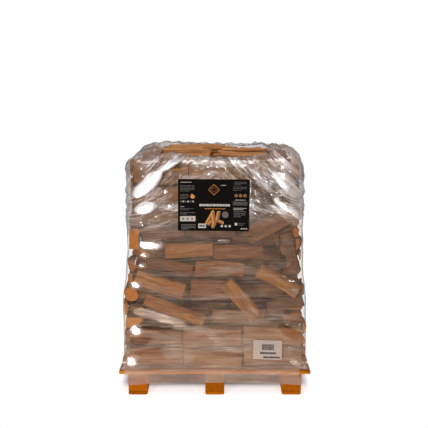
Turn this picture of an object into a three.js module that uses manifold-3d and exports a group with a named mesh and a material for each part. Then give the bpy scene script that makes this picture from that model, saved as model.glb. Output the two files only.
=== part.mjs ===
// A pallet load of split firewood under stretch film.
// Units are millimetres, +Z is up, -Y is the front and the origin is on the floor
// under the middle of the load.

import * as THREE from 'three';
import { mergeVertices } from 'three/addons/utils/BufferGeometryUtils.js';
import Module from 'manifold-3d';

const wasm = await Module();
wasm.setup();

// Pallet: a one-way block pallet, 1000 x 1200 mm.
const palletWidth = 1000;
const palletDepth = 1200;
const palletHeight = 130;
const boardThickness = 17;
const touchGap = 0.3;
const deckBoardCount = 7;
const deckBoardDepth = 120;
const blockWidth = 100;
const blockDepth = 145;
const blockInset = 48;
const blockHeight = palletHeight - 3 * boardThickness - 3 * touchGap;
const blockRowX = palletWidth / 2 - blockInset - blockWidth / 2;
const blockRowY = palletDepth / 2 - blockDepth / 2;

// Load: split logs in courses, faced at the front by two shallow layers.
const logLength = 290;
const loadBottom = palletHeight + 0.6;
const loadTop = 1236;
const frontFace = -572;
const slabDepth = 64;
const tierFront = -438;
const tierBack = 560;
const tierCount = 4;
const tierGap = 0.8;

// Film: many turns of stretch film, drawn as one sleeve.
const filmThickness = 2.2;
const hemHeight = 54;
const filmSides = 44;

const colours = {
  palletWood: 0xb5742c,
  splitWood: 0xa06a40,
  barkWood: 0x8a5a38,
  film: 0xb9a08c,
  blackLabel: 0x14100e,
  whiteLabel: 0xd6ccc4,
};

const palletWood = new THREE.MeshStandardMaterial({ color: colours.palletWood, roughness: 0.8, metalness: 0 });
const splitWood = new THREE.MeshStandardMaterial({ color: colours.splitWood, roughness: 0.85, metalness: 0 });
const barkWood = new THREE.MeshStandardMaterial({ color: colours.barkWood, roughness: 0.9, metalness: 0 });
const filmPlastic = new THREE.MeshStandardMaterial({ color: colours.film, roughness: 0.2, metalness: 0 });
const blackPaper = new THREE.MeshStandardMaterial({ color: colours.blackLabel, roughness: 0.4, metalness: 0 });
const whitePaper = new THREE.MeshStandardMaterial({ color: colours.whiteLabel, roughness: 0.5, metalness: 0 });

function named(name, geometry, material) {
  const mesh = new THREE.Mesh(geometry, material);
  mesh.name = name;
  return mesh;
}

// Joining and cutting.

function toSolid(geometry) {
  const bare = geometry.clone();
  bare.deleteAttribute('normal');
  bare.deleteAttribute('uv');
  const merged = mergeVertices(bare, 1e-3);
  return new wasm.Manifold(new wasm.Mesh({
    numProp: 3,
    vertProperties: new Float32Array(merged.attributes.position.array),
    triVerts: new Uint32Array(merged.index.array),
  }));
}

function toGeometry(solid) {
  const mesh = solid.getMesh();
  const geometry = new THREE.BufferGeometry();
  geometry.setAttribute('position', new THREE.BufferAttribute(mesh.vertProperties, 3));
  geometry.setIndex(new THREE.BufferAttribute(mesh.triVerts, 1));
  return geometry;
}

function boxBetween(low, high) {
  const geometry = new THREE.BoxGeometry(high[0] - low[0], high[1] - low[1], high[2] - low[2]);
  return geometry.translate((low[0] + high[0]) / 2, (low[1] + high[1]) / 2, (low[2] + high[2]) / 2);
}

// Pallet.

function board(name, size, centre) {
  const mesh = named(name, new THREE.BoxGeometry(...size), palletWood);
  mesh.position.set(...centre);
  return mesh;
}

function makePallet() {
  const pallet = new THREE.Group();
  const sides = ['left', 'middle', 'right'];
  const rows = ['front', 'centre', 'back'];
  const blockMiddle = boardThickness + touchGap + blockHeight / 2;
  const stringerMiddle = blockMiddle + blockHeight / 2 + touchGap + boardThickness / 2;
  sides.forEach((side, column) => {
    const x = (column - 1) * blockRowX;
    const long = [blockWidth, palletDepth, boardThickness];
    pallet.add(board(`skid_${side}`, long, [x, 0, boardThickness / 2]));
    pallet.add(board(`stringer_${side}`, long, [x, 0, stringerMiddle]));
    rows.forEach((row, line) => {
      const size = [blockWidth, blockDepth, blockHeight];
      pallet.add(board(`block_${row}_${side}`, size, [x, (line - 1) * blockRowY, blockMiddle]));
    });
  });
  const pitch = (palletDepth - deckBoardDepth) / (deckBoardCount - 1);
  for (let i = 0; i < deckBoardCount; i += 1) {
    const y = -palletDepth / 2 + deckBoardDepth / 2 + i * pitch;
    const size = [palletWidth, deckBoardDepth, boardThickness];
    pallet.add(board(`deck_board_${i + 1}`, size, [0, y, palletHeight - boardThickness / 2]));
  }
  return pallet;
}

// Logs. A section is drawn across the log, with its second axis towards the viewer.

const sectionPoints = {
  slab: [[-0.5, -0.46], [0.46, -0.5], [0.5, 0.4], [0.4, 0.5], [-0.46, 0.48]],
  wedge: [[-0.5, -0.05], [-0.2, -0.5], [0.34, -0.5], [0.5, -0.18], [0.5, 0.44], [-0.44, 0.5]],
  rafter: [[-0.46, -0.5], [0.5, -0.5], [0.46, 0.5], [-0.5, 0.36]],
};

function logSection(kind, width, depth) {
  const shape = new THREE.Shape();
  if (kind === 'round') {
    shape.absellipse(0, 0, width / 2, depth / 2, 0, 2 * Math.PI);
  } else if (kind === 'bark') {
    shape.moveTo(-width / 2, -depth / 2);
    shape.lineTo(width / 2, -depth / 2);
    shape.absellipse(0, -depth / 2, width / 2, depth, 0, Math.PI);
  } else {
    shape.setFromPoints(sectionPoints[kind].map(([x, y]) => new THREE.Vector2(x * width, y * depth)));
  }
  return shape;
}

function logGeometry(kind, width, depth, length) {
  const geometry = new THREE.ExtrudeGeometry(logSection(kind, width, depth), {
    depth: length,
    bevelEnabled: false,
    curveSegments: kind === 'round' ? 5 : 6,
  });
  return geometry.translate(0, 0, -length / 2);
}

// A log that lies across the front: its axis rises to the right by the tilt.
function frontBasis(tilt) {
  const angle = THREE.MathUtils.degToRad(tilt);
  const along = new THREE.Vector3(Math.cos(angle), 0, Math.sin(angle));
  const across = new THREE.Vector3(-Math.sin(angle), 0, Math.cos(angle));
  return new THREE.Matrix4().makeBasis(across, new THREE.Vector3(0, -1, 0), along);
}

// A log that points at the viewer: its section is upright, its axis runs front to back.
const endOnBasis = new THREE.Matrix4().makeBasis(
  new THREE.Vector3(1, 0, 0),
  new THREE.Vector3(0, 0, 1),
  new THREE.Vector3(0, -1, 0),
);

// Courses at the front: centre x, centre z, tilt, length, thickness, set-back, depth, section.
const behindSlab = slabDepth + 3;
const frontLogs = [
  [-318, 187, 1, 290, 98, 0, 120, 'slab'],
  [-10, 186, -1, 296, 100, 6, 112, 'wedge'],
  [306, 188, 1, 300, 100, 2, 118, 'slab'],
  [-322, 295, -1.5, 286, 96, 4, 110, 'rafter'],
  [-14, 292, 1, 296, 98, 0, 122, 'slab'],
  [302, 300, -2, 300, 100, 8, 112, 'wedge'],
  [124, 396, -1, 268, 82, behindSlab, 60, 'slab'],
  [372, 458, 14, 194, 74, behindSlab, 60, 'slab'],
  [-210, 447, -21, 326, 74, 0, slabDepth, 'slab'],
  [-12, 546, -2, 232, 100, behindSlab, 60, 'slab'],
  [135, 499, -49.7, 240, 80, 0, slabDepth, 'slab'],
  [-284, 588, -18, 262, 88, 0, slabDepth, 'slab'],
  [-236, 678, -8, 244, 58, 0, slabDepth, 'slab'],
  [24, 664, -2, 248, 88, 4, 118, 'wedge'],
  [328, 600, -30, 232, 74, 0, slabDepth, 'slab'],
  [390, 752, -74, 214, 64, 2, slabDepth, 'rafter'],
  [-132, 765, 2, 244, 84, 0, 112, 'slab'],
  [122, 758, 1, 246, 78, 8, 110, 'wedge'],
  [-268, 848, 3, 216, 78, behindSlab, 60, 'slab'],
  [-22, 857, -1, 250, 82, 60, 62, 'rafter'],
  [268, 898, 25, 232, 100, 0, slabDepth, 'slab'],
  [-286, 950, -2, 272, 88, 4, 112, 'slab'],
  [-14, 950, 2, 254, 92, 10, 106, 'wedge'],
  [-276, 1053, 2, 268, 94, 0, 112, 'slab'],
  [8, 1052, -1, 276, 94, 6, 110, 'slab'],
  [290, 1062, 5, 244, 84, 2, 108, 'wedge'],
  [-272, 1160, 0, 268, 96, 2, 108, 'wedge'],
  [4, 1163, 2, 266, 94, 6, 106, 'slab'],
  [282, 1166, -3, 252, 92, 6, 106, 'slab'],
];

function makeFrontLogs() {
  const group = new THREE.Group();
  frontLogs.forEach(([x, z, tilt, length, thickness, setBack, depth, kind], index) => {
    const number = String(index + 1).padStart(2, '0');
    const material = kind === 'wedge' ? barkWood : splitWood;
    const mesh = named(`front_log_${number}`, logGeometry(kind, thickness, depth, length), material);
    mesh.quaternion.setFromRotationMatrix(frontBasis(tilt));
    mesh.position.set(x, frontFace + setBack + depth / 2, z);
    group.add(mesh);
  });
  return group;
}

// Logs at the left front corner that show their sawn ends: x, z, width, height, set-back, section.
const endOnLogs = [
  [-436, 530, 74, 74, 30, 'round'],
  [-414, 822, 52, 118, 30, 'slab'],
];

function makeEndOnLogs() {
  const group = new THREE.Group();
  endOnLogs.forEach(([x, z, width, height, setBack, kind], index) => {
    const mesh = named(`end_on_log_${index + 1}`, logGeometry(kind, width, height, logLength), splitWood);
    mesh.quaternion.setFromRotationMatrix(endOnBasis);
    mesh.position.set(x, frontFace + setBack + logLength / 2, z);
    group.add(mesh);
  });
  return group;
}

function endOnClearance([x, z, width, height, setBack]) {
  const room = 1;
  const front = frontFace + setBack;
  return boxBetween(
    [x - width / 2 - room, front - room, z - height / 2 - room],
    [x + width / 2 + room, front + logLength + room, z + height / 2 + room],
  );
}

// The top of the load falls away to the back, from a line a little behind the front face.
const fallStart = -300;
const fallAtBack = 52;

function topFall(y) {
  return fallAtBack * Math.max(0, (y - fallStart) / (tierBack - fallStart));
}

function aboveTheFall() {
  const past = tierBack + 100;
  const wedge = new THREE.Shape();
  wedge.moveTo(fallStart, loadTop);
  wedge.lineTo(past, loadTop - topFall(past));
  wedge.lineTo(past, loadTop + 100);
  wedge.lineTo(fallStart, loadTop + 100);
  const geometry = new THREE.ExtrudeGeometry(wedge, { depth: palletWidth, bevelEnabled: false });
  geometry.applyMatrix4(new THREE.Matrix4().makeBasis(
    new THREE.Vector3(0, 1, 0),
    new THREE.Vector3(0, 0, 1),
    new THREE.Vector3(1, 0, 0),
  ));
  return toSolid(geometry.translate(-palletWidth / 2, 0, 0));
}

// Half-width of the stacked logs inside the film, at a height above the floor.
function stackHalfWidth(z) {
  return THREE.MathUtils.mapLinear(z, loadBottom, loadTop, 470, 414);
}

// A tier: the logs of the sides and the back, locked together by the logs inside.
function makeTier(index) {
  const tierHeight = (loadTop - loadBottom) / tierCount;
  const low = loadBottom + index * tierHeight;
  const high = low + tierHeight - tierGap;
  const halfWidth = stackHalfWidth(high);
  const courseHeight = (high - low) / 2;
  const sideWidth = 112;
  const backDepth = 108;
  const isTop = index === tierCount - 1;
  const coreTop = isTop ? high - courseHeight + 30 : high;
  const lap = 12;
  const seam = 3;
  const kinds = ['slab', 'wedge', 'rafter'];
  const coreLow = [-halfWidth + sideWidth - lap, tierFront, low];
  const coreHigh = [halfWidth - sideWidth + lap, tierBack - backDepth + lap, coreTop];
  let tier = toSolid(boxBetween(coreLow, coreHigh));
  const sideSpan = (tierBack - tierFront) / 3;
  const backSpan = (2 * (halfWidth - sideWidth)) / 3;
  for (let course = 0; course < 2; course += 1) {
    const z = low + courseHeight * (course + 0.5);
    for (let place = 0; place < 3; place += 1) {
      const kind = kinds[(place + course + index) % kinds.length];
      const y = tierFront + sideSpan * (place + 0.5);
      for (const side of [-1, 1]) {
        const log = logGeometry(kind, sideWidth, courseHeight - seam, sideSpan - 2 * seam);
        log.applyMatrix4(endOnBasis);
        log.translate(side * (halfWidth - sideWidth / 2), y, z);
        tier = tier.add(toSolid(log));
      }
      const x = backSpan * (place - 1);
      const log = logGeometry(kind, courseHeight - seam, backDepth, backSpan - 2 * seam);
      log.applyMatrix4(frontBasis(0));
      log.translate(x, tierBack - backDepth / 2, z);
      tier = tier.add(toSolid(log));
    }
  }
  if (isTop) {
    tier = tier.add(topCourse(coreTop, coreLow, coreHigh)).subtract(aboveTheFall());
  }
  for (const log of endOnLogs) {
    tier = tier.subtract(toSolid(endOnClearance(log)));
  }
  return named(`log_tier_${index + 1}`, toGeometry(tier), splitWood);
}

// The last course, open to view inside the film's rim.
function topCourse(coreTop, coreLow, coreHigh) {
  const rowCount = 8;
  const pitch = (coreHigh[1] - coreLow[1]) / rowCount;
  const height = loadTop - tierGap - coreTop;
  const span = (coreHigh[0] - coreLow[0]) / 2;
  let course = null;
  for (let row = 0; row < rowCount; row += 1) {
    for (const side of [-1, 1]) {
      const kind = (row + side) % 2 === 0 ? 'bark' : 'slab';
      const drop = (row % 3) * 9;
      const log = logGeometry(kind, pitch - 5, height + 20 - drop, span - 8);
      log.rotateZ(Math.PI / 2);
      log.applyMatrix4(new THREE.Matrix4().makeBasis(
        new THREE.Vector3(0, 0, 1),
        new THREE.Vector3(0, -1, 0),
        new THREE.Vector3(1, 0, 0),
      ));
      const y = coreLow[1] + pitch * (row + 0.5);
      log.translate(side * span / 2, y, coreTop - 20 + (height + 20 - drop) / 2);
      const solid = toSolid(log);
      course = course === null ? solid : course.add(solid);
    }
  }
  return course;
}

// Film. Each level gives height, half-width, half-depth and corner radius of the outer face.
const filmLevels = [
  [hemHeight, 455, 603, 4],
  [107, 455, 603, 4],
  [110, 503, 603, 4],
  [132, 503, 603, 4],
  [152, 488, 588, 10],
  [185, 480, 577, 14],
  [330, 478, 577, 14],
  [500, 478, 577, 14],
  [620, 470, 576, 14],
  [770, 452, 575, 16],
  [900, 447, 575, 18],
  [1010, 436, 575, 18],
  [1150, 432, 575, 18],
  [1232, 426, 572, 24],
  [1254, 404, 548, 50],
  [1266, 366, 504, 70],
  [1272, 312, 442, 80],
];
const rimHalfWidth = 262;
const rimHalfDepth = 392;
const rimRadius = 80;
const fallFrom = 1100;
const filmFallShare = 0.7;

function ringPoint(turn, halfWidth, halfDepth, radius) {
  const corner = (side, end) => [side * (halfWidth - radius), end * (halfDepth - radius)];
  const quarter = Math.floor(turn * 4) % 4;
  const part = turn * 4 - Math.floor(turn * 4);
  const [cx, cy] = [corner(1, 1), corner(-1, 1), corner(-1, -1), corner(1, -1)][quarter];
  const angle = (quarter + part) * Math.PI / 2;
  return [cx + radius * Math.cos(angle), cy + radius * Math.sin(angle)];
}

// A closed drum whose rings follow the levels.
function drum(levels) {
  const geometry = new THREE.CylinderGeometry(1, 1, 1, filmSides, levels.length - 1);
  geometry.rotateX(Math.PI / 2);
  const position = geometry.attributes.position;
  for (let i = 0; i < position.count; i += 1) {
    const level = Math.round((position.getZ(i) + 0.5) * (levels.length - 1));
    const [z, halfWidth, halfDepth, radius] = levels[level];
    const across = Math.hypot(position.getX(i), position.getY(i));
    const side = Math.round(Math.atan2(position.getY(i), position.getX(i)) / (2 * Math.PI) * filmSides);
    const turn = ((side + filmSides) % filmSides) / filmSides;
    const [x, y] = ringPoint(turn, halfWidth, halfDepth, radius);
    const share = filmFallShare * THREE.MathUtils.smoothstep(z, fallFrom, loadTop);
    position.setXYZ(i, x * across, y * across, z - share * topFall(y * across));
  }
  return toSolid(geometry);
}

function innerLevels() {
  const levels = filmLevels.map(([z, halfWidth, halfDepth, radius], index) => {
    const lift = index === 1 || index === 2 ? filmThickness + 0.3 : 0;
    const drop = index >= filmLevels.length - 4 ? filmThickness : 0;
    return [z + lift - drop, halfWidth - filmThickness, halfDepth - filmThickness, radius - filmThickness];
  });
  levels[0][0] = hemHeight - 20;
  return levels;
}

function makeFilm() {
  const rim = new THREE.Shape();
  const steps = 24;
  const rimPoints = [];
  for (let i = 0; i < steps; i += 1) {
    rimPoints.push(new THREE.Vector2(...ringPoint(i / steps, rimHalfWidth, rimHalfDepth, rimRadius)));
  }
  rim.setFromPoints(rimPoints);
  const opening = new THREE.ExtrudeGeometry(rim, { depth: 200, bevelEnabled: false });
  opening.translate(0, 0, loadTop - 50);
  const film = drum(filmLevels).subtract(drum(innerLevels())).subtract(toSolid(opening));
  return named('stretch_film', toGeometry(film), filmPlastic);
}

// Labels, stuck flat on the front of the film.
const labelThickness = 0.6;

function label(name, width, height, centreX, centreZ, turn, front, material) {
  const mesh = named(name, new THREE.BoxGeometry(width, labelThickness, height), material);
  mesh.position.set(centreX, front - touchGap - labelThickness / 2, centreZ);
  mesh.rotation.y = THREE.MathUtils.degToRad(turn);
  return mesh;
}

const group = new THREE.Group();
group.add(makePallet());
group.add(makeFrontLogs());
group.add(makeEndOnLogs());
for (let index = 0; index < tierCount; index += 1) {
  group.add(makeTier(index));
}
group.add(makeFilm());
group.add(label('printed_label', 360, 266, -6, 1006, 0.5, -575, blackPaper));
group.add(label('barcode_label', 150, 104, 276, 238, 1.5, -577, whitePaper));

export default group;
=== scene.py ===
"""A pallet load of split firewood under stretch film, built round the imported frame.

Metres, +Z up, -Y is the front. The logs of the front face, the pallet and the labels take their
places from the frame; the logs behind are stacked here; the film is drawn taut over all of them.
"""
import itertools
import math

import bpy
import numpy as np
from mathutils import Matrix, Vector
from mathutils.bvhtree import BVHTree


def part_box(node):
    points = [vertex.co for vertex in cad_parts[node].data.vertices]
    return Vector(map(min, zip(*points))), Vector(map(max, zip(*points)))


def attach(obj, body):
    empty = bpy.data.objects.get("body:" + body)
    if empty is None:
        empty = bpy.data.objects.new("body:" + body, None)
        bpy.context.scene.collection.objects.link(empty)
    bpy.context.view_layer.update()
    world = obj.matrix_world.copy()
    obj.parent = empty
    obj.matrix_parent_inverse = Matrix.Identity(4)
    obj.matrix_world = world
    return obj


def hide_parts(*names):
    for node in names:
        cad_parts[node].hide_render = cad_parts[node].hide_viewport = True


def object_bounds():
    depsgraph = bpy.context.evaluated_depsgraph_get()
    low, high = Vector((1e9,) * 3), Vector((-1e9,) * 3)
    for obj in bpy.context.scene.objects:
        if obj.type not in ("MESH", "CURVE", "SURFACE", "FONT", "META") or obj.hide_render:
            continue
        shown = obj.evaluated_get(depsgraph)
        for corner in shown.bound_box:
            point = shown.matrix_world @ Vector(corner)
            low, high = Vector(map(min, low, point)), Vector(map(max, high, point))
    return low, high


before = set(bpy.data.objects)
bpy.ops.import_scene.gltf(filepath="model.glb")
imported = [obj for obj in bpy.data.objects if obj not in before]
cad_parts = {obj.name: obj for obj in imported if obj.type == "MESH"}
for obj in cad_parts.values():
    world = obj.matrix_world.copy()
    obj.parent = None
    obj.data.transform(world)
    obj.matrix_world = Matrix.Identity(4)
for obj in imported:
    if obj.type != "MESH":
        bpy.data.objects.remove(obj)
cad_low, cad_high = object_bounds()

TIERS = 4
SEED = 20


# Noise and small helpers


def lattice(cell, seed):
    """A fixed pseudo-random number from -1 to 1 for each whole-number cell."""
    mixed = cell[:, 0] * 73856093 ^ cell[:, 1] * 19349663 ^ cell[:, 2] * 83492791 ^ seed * 40503
    mixed = (mixed ^ (mixed >> 13)) * 1274126177
    return ((mixed ^ (mixed >> 16)) & 0xFFFF) / 32767.5 - 1


def noise(points, seed):
    """Smooth value noise from -1 to 1 at an array of 3-D points."""
    points = np.asarray(points, float)
    cell = np.floor(points).astype(np.int64)
    part = points - cell
    part = part * part * (3 - 2 * part)
    total = np.zeros(len(points))
    for corner in np.ndindex(2, 2, 2):
        offset = np.array(corner)
        weight = np.prod(np.where(offset == 1, part, 1 - part), axis=1)
        total += weight * lattice(cell + offset, seed)
    return total


def noise_2d(u, v, seed):
    """Smooth noise on a grid of two coordinates."""
    flat = np.stack([np.ravel(u), np.ravel(v), np.full(np.size(u), 0.5)], axis=1)
    return noise(flat, seed).reshape(np.shape(u))


def ridged(u, v, seed):
    """Noise with sharp crests, from 0 to 1, as creases in thin film have."""
    return 1 - np.abs(noise_2d(u, v, seed))


def tents(u, v, seed):
    """Nearness to the closest of scattered points, 1 at a point: peaks with straight valleys between."""
    column, row = np.floor(np.ravel(u)), np.floor(np.ravel(v))
    nearest = np.full(column.shape, 9.0)
    for step in np.ndindex(3, 3):
        cell = np.stack([column + step[0] - 1, row + step[1] - 1, 0 * row], axis=1)
        jitter = lattice(cell.astype(np.int64), seed), lattice(cell.astype(np.int64), seed + 1)
        off_u = cell[:, 0] + 0.5 + 0.42 * jitter[0]
        off_v = cell[:, 1] + 0.5 + 0.42 * jitter[1]
        nearest = np.minimum(nearest, np.hypot(np.ravel(u) - off_u, np.ravel(v) - off_v))
    return np.clip(1 - nearest, 0, 1).reshape(np.shape(u))


def ease(value, low, high):
    """0 below low, 1 above high and smooth between."""
    part = np.clip((np.asarray(value, float) - low) / (high - low), 0, 1)
    return part * part * (3 - 2 * part)


def new_object(name, verts, faces, sharp=None):
    mesh = bpy.data.meshes.new(name)
    mesh.from_pydata([tuple(p) for p in verts], [], [tuple(f) for f in faces])
    mesh.polygons.foreach_set("use_smooth", [True] * len(mesh.polygons))
    if sharp is not None:
        mesh.set_sharp_from_angle(angle=math.radians(sharp))
    made = bpy.data.objects.new(name, mesh)
    bpy.context.collection.objects.link(made)
    return made


def grid_faces(rows, columns, closed=False, base=0):
    """Four-sided faces over a grid of points, which may close on itself sideways."""
    faces = []
    for i in range(rows - 1):
        for j in range(columns if closed else columns - 1):
            a, b = base + i * columns + j, base + i * columns + (j + 1) % columns
            faces.append((a, b, b + columns, a + columns))
    return faces


def give_attribute(obj, name, values, kind="FLOAT", domain="POINT"):
    layer = obj.data.attributes.new(name, kind, domain)
    key = "vector" if kind == "FLOAT_VECTOR" else "value"
    layer.data.foreach_set(key, np.asarray(values, np.float32).ravel())


def place(obj, material, slot, *nodes):
    """Finishes a piece: its material, the body it rides on and the nodes it stands for."""
    obj.data.materials.clear()
    obj.data.materials.append(material)
    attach(obj, "root")
    if nodes:
        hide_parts(*nodes)


def node_points(name):
    """The distinct vertices of a CAD node, in the row frame."""
    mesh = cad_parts[name].data
    points = np.empty(len(mesh.vertices) * 3, np.float32)
    mesh.vertices.foreach_get("co", points)
    return np.unique(np.round(points.reshape(-1, 3), 5), axis=0).astype(float)


# Materials


class Shader:
    """A material's node tree, built by short calls that return sockets."""

    def __init__(self, name):
        self.material = bpy.data.materials.new(name)
        self.material.use_nodes = True
        self.tree = self.material.node_tree
        self.surface = self.tree.nodes["Principled BSDF"]

    def feed(self, socket, value):
        if isinstance(value, bpy.types.NodeSocket):
            self.tree.links.new(value, socket)
        else:
            socket.default_value = value

    def set(self, **inputs):
        """Feeds the surface's inputs, named with _ for each space."""
        for name, value in inputs.items():
            self.feed(self.surface.inputs[name.replace("_", " ")], value)

    def node(self, kind, output, inputs, **settings):
        made = self.tree.nodes.new("ShaderNode" + kind)
        for name, value in settings.items():
            setattr(made, name, value)
        for name, value in inputs.items():
            self.feed(made.inputs[name], value)
        return made.outputs[output]

    def attribute(self, name, output="Fac"):
        return self.node("Attribute", output, {}, attribute_name=name)

    def position(self):
        return self.node("NewGeometry", "Position", {})

    def scaled(self, vector, factors):
        return self.node("VectorMath", 0, {0: vector, 1: factors}, operation="MULTIPLY")

    def noise(self, vector, scale, detail=3.0, roughness=0.55, distortion=0.0):
        inputs = {"Vector": vector, "Scale": scale, "Detail": detail, "Roughness": roughness}
        return self.node("TexNoise", "Fac", inputs | {"Distortion": distortion})

    def vector_noise(self, vector, scale):
        return self.node("TexNoise", "Color", {"Vector": vector, "Scale": scale})

    def cells(self, vector, scale, feature="DISTANCE_TO_EDGE"):
        return self.node("TexVoronoi", "Distance", {"Vector": vector, "Scale": scale}, feature=feature)

    def patchwork(self, vector, scale):
        """One random level from 0 to 1 for each cell."""
        colour = self.node("TexVoronoi", "Color", {"Vector": vector, "Scale": scale})
        return self.node("SeparateColor", 0, {0: colour})

    def rings(self, vector, scale, distortion):
        inputs = {"Vector": vector, "Scale": scale, "Distortion": distortion, "Detail": 2.0}
        return self.node("TexWave", "Fac", inputs, wave_type="RINGS", rings_direction="Z")

    def ramp(self, value, stops):
        made = self.tree.nodes.new("ShaderNodeValToRGB")
        self.feed(made.inputs["Fac"], value)
        elements = made.color_ramp.elements
        while len(elements) < len(stops):
            elements.new(0.5)
        for element, (spot, colour) in zip(elements, stops):
            element.position = spot
            element.color = (*colour, 1)
        return made.outputs["Color"]

    def mix(self, share, first, second, blend="MIX"):
        first, second = ((*v, 1) if isinstance(v, tuple) else v for v in (first, second))
        inputs = {0: share, 6: first, 7: second}
        return self.node("Mix", 2, inputs, data_type="RGBA", blend_type=blend)

    def add(self, first, second):
        return self.node("Math", 0, {0: first, 1: second}, operation="ADD")

    def times(self, first, second, clamp=False):
        return self.node("Math", 0, {0: first, 1: second}, operation="MULTIPLY", use_clamp=clamp)

    def span(self, value, low, high, out_low=0.0, out_high=1.0):
        inputs = {"Value": value, "From Min": low, "From Max": high}
        return self.node("MapRange", "Result", inputs | {"To Min": out_low, "To Max": out_high})

    def bump(self, height, distance):
        self.set(Normal=self.node("Bump", "Normal", {"Distance": distance, "Height": height}))


def split_wood():
    """Split hardwood: fibres along the log, bark on its round side, rings on its sawn ends."""
    s = Shader("split_wood")
    grain = s.attribute("grain", "Vector")
    tone = s.attribute("tone")
    bark = s.attribute("bark")
    end = s.attribute("end")

    fibres = s.noise(s.scaled(grain, (1, 1, 0.035)), 260, 4, 0.65)
    bands = s.noise(s.scaled(grain, (1, 1, 0.12)), 34, 3, 0.5, 0.4)
    patches = s.noise(grain, 9, 2)
    face = s.ramp(bands, [
        (0.28, (0.110, 0.036, 0.010)),
        (0.46, (0.270, 0.104, 0.028)),
        (0.62, (0.420, 0.180, 0.052)),
        (0.80, (0.560, 0.280, 0.100)),
    ])
    face = s.mix(s.span(fibres, 0.38, 0.75, 0, 0.9), face, (0.130, 0.044, 0.012))
    face = s.mix(s.span(fibres, 0.5, 0.3, 0, 0.5), face, (0.60, 0.33, 0.13))
    face = s.mix(s.span(patches, 0.45, 0.75, 0, 0.6), face, (0.32, 0.090, 0.018))

    plates = s.cells(s.scaled(grain, (1, 1, 0.38)), 62)
    rough_bark = s.noise(grain, 90, 4, 0.7)
    skin = s.ramp(rough_bark, [
        (0.30, (0.030, 0.017, 0.010)),
        (0.52, (0.120, 0.066, 0.036)),
        (0.75, (0.270, 0.180, 0.110)),
    ])
    skin = s.mix(s.span(plates, 0.0, 0.13, 0.85, 0), skin, (0.018, 0.010, 0.006))

    rings = s.rings(grain, 60, 3.0)
    saw = s.noise(grain, 190, 3, 0.6)
    cut = s.mix(s.span(rings, 0.2, 0.9), (0.56, 0.200, 0.034), (0.36, 0.105, 0.012))
    cut = s.mix(s.span(saw, 0.4, 0.7, 0, 0.45), cut, (0.30, 0.11, 0.025))
    spokes = s.cells(s.scaled(grain, (1, 1, 0.05)), 24)
    cut = s.mix(s.span(spokes, 0.0, 0.02, 0.7, 0), cut, (0.06, 0.022, 0.007))

    colour = s.mix(bark, face, skin)
    colour = s.mix(end, colour, cut)
    # Tint by tone. Low tones darken, which on the logs in the heart of the load is painted shade; tones
    # near 1 brighten past white, which is painted light on the top logs.
    tone_and_shading_tint = s.ramp(tone, [
        (0.0, (0.34, 0.29, 0.29)),
        (0.35, (0.66, 0.54, 0.48)),
        (0.75, (1.0, 1.0, 1.0)),
        (1.0, (1.45, 1.50, 1.50)),
    ])
    tinted = s.mix(1.0, colour, tone_and_shading_tint, "MULTIPLY")
    relief = s.add(s.times(fibres, 0.5), s.times(bands, 0.8))
    relief = s.add(relief, s.times(s.times(bark, plates), 3.0))
    s.set(Base_Color=tinted, Roughness=s.span(fibres, 0.3, 0.7, 0.62, 0.9), Specular_IOR_Level=0.3)
    s.bump(relief, 0.003)
    return s.material


def pallet_wood():
    """Sawn softwood, warm and a little weathered, with saw marks and darker end grain."""
    s = Shader("pallet_wood")
    grain = s.attribute("grain", "Vector")
    tone = s.attribute("tone")
    end = s.attribute("end")
    lines = s.noise(s.scaled(grain, (1, 1, 0.05)), 150, 4, 0.6, 0.3)
    figure = s.noise(s.scaled(grain, (1, 1, 0.10)), 26, 3, 0.5, 1.2)
    saw = s.noise(s.scaled(grain, (0.15, 0.15, 1)), 210, 2)
    knots = s.cells(s.scaled(grain, (1, 1, 0.45)), 11, "F1")
    face = s.ramp(figure, [
        (0.30, (0.270, 0.062, 0.0)),
        (0.52, (0.430, 0.118, 0.0)),
        (0.74, (0.560, 0.195, 0.004)),
    ])
    face = s.mix(s.span(lines, 0.42, 0.72, 0, 0.75), face, (0.240, 0.050, 0.002))
    face = s.mix(s.span(knots, 0.10, 0.02), face, (0.080, 0.018, 0.002))
    cut = s.mix(s.span(s.rings(grain, 75, 2.0), 0.2, 0.9), (0.44, 0.118, 0.0), (0.24, 0.048, 0.0))
    cut = s.mix(s.span(saw, 0.4, 0.7, 0, 0.4), cut, (0.20, 0.045, 0.002))
    colour = s.mix(end, face, cut)
    shade = s.span(tone, 0, 1, 0.72, 1.0)
    colour = s.mix(1.0, colour, s.ramp(shade, [(0.0, (0, 0, 0)), (1.0, (1, 1, 1))]), "MULTIPLY")
    s.set(Base_Color=colour, Roughness=s.span(lines, 0.3, 0.7, 0.6, 0.88), Specular_IOR_Level=0.04)
    s.bump(s.add(lines, s.times(saw, 0.5)), 0.0012)
    return s.material


def steel():
    """Nail heads, dull and a little stained."""
    s = Shader("nail_steel")
    mottling = s.noise(s.position(), 900, 3)
    colour = s.ramp(mottling, [(0.3, (0.10, 0.075, 0.06)), (0.7, (0.36, 0.33, 0.31))])
    s.set(Base_Color=colour, Metallic=0.85, Roughness=s.span(mottling, 0.3, 0.7, 0.3, 0.6))
    s.bump(mottling, 0.0003)
    return s.material


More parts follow.
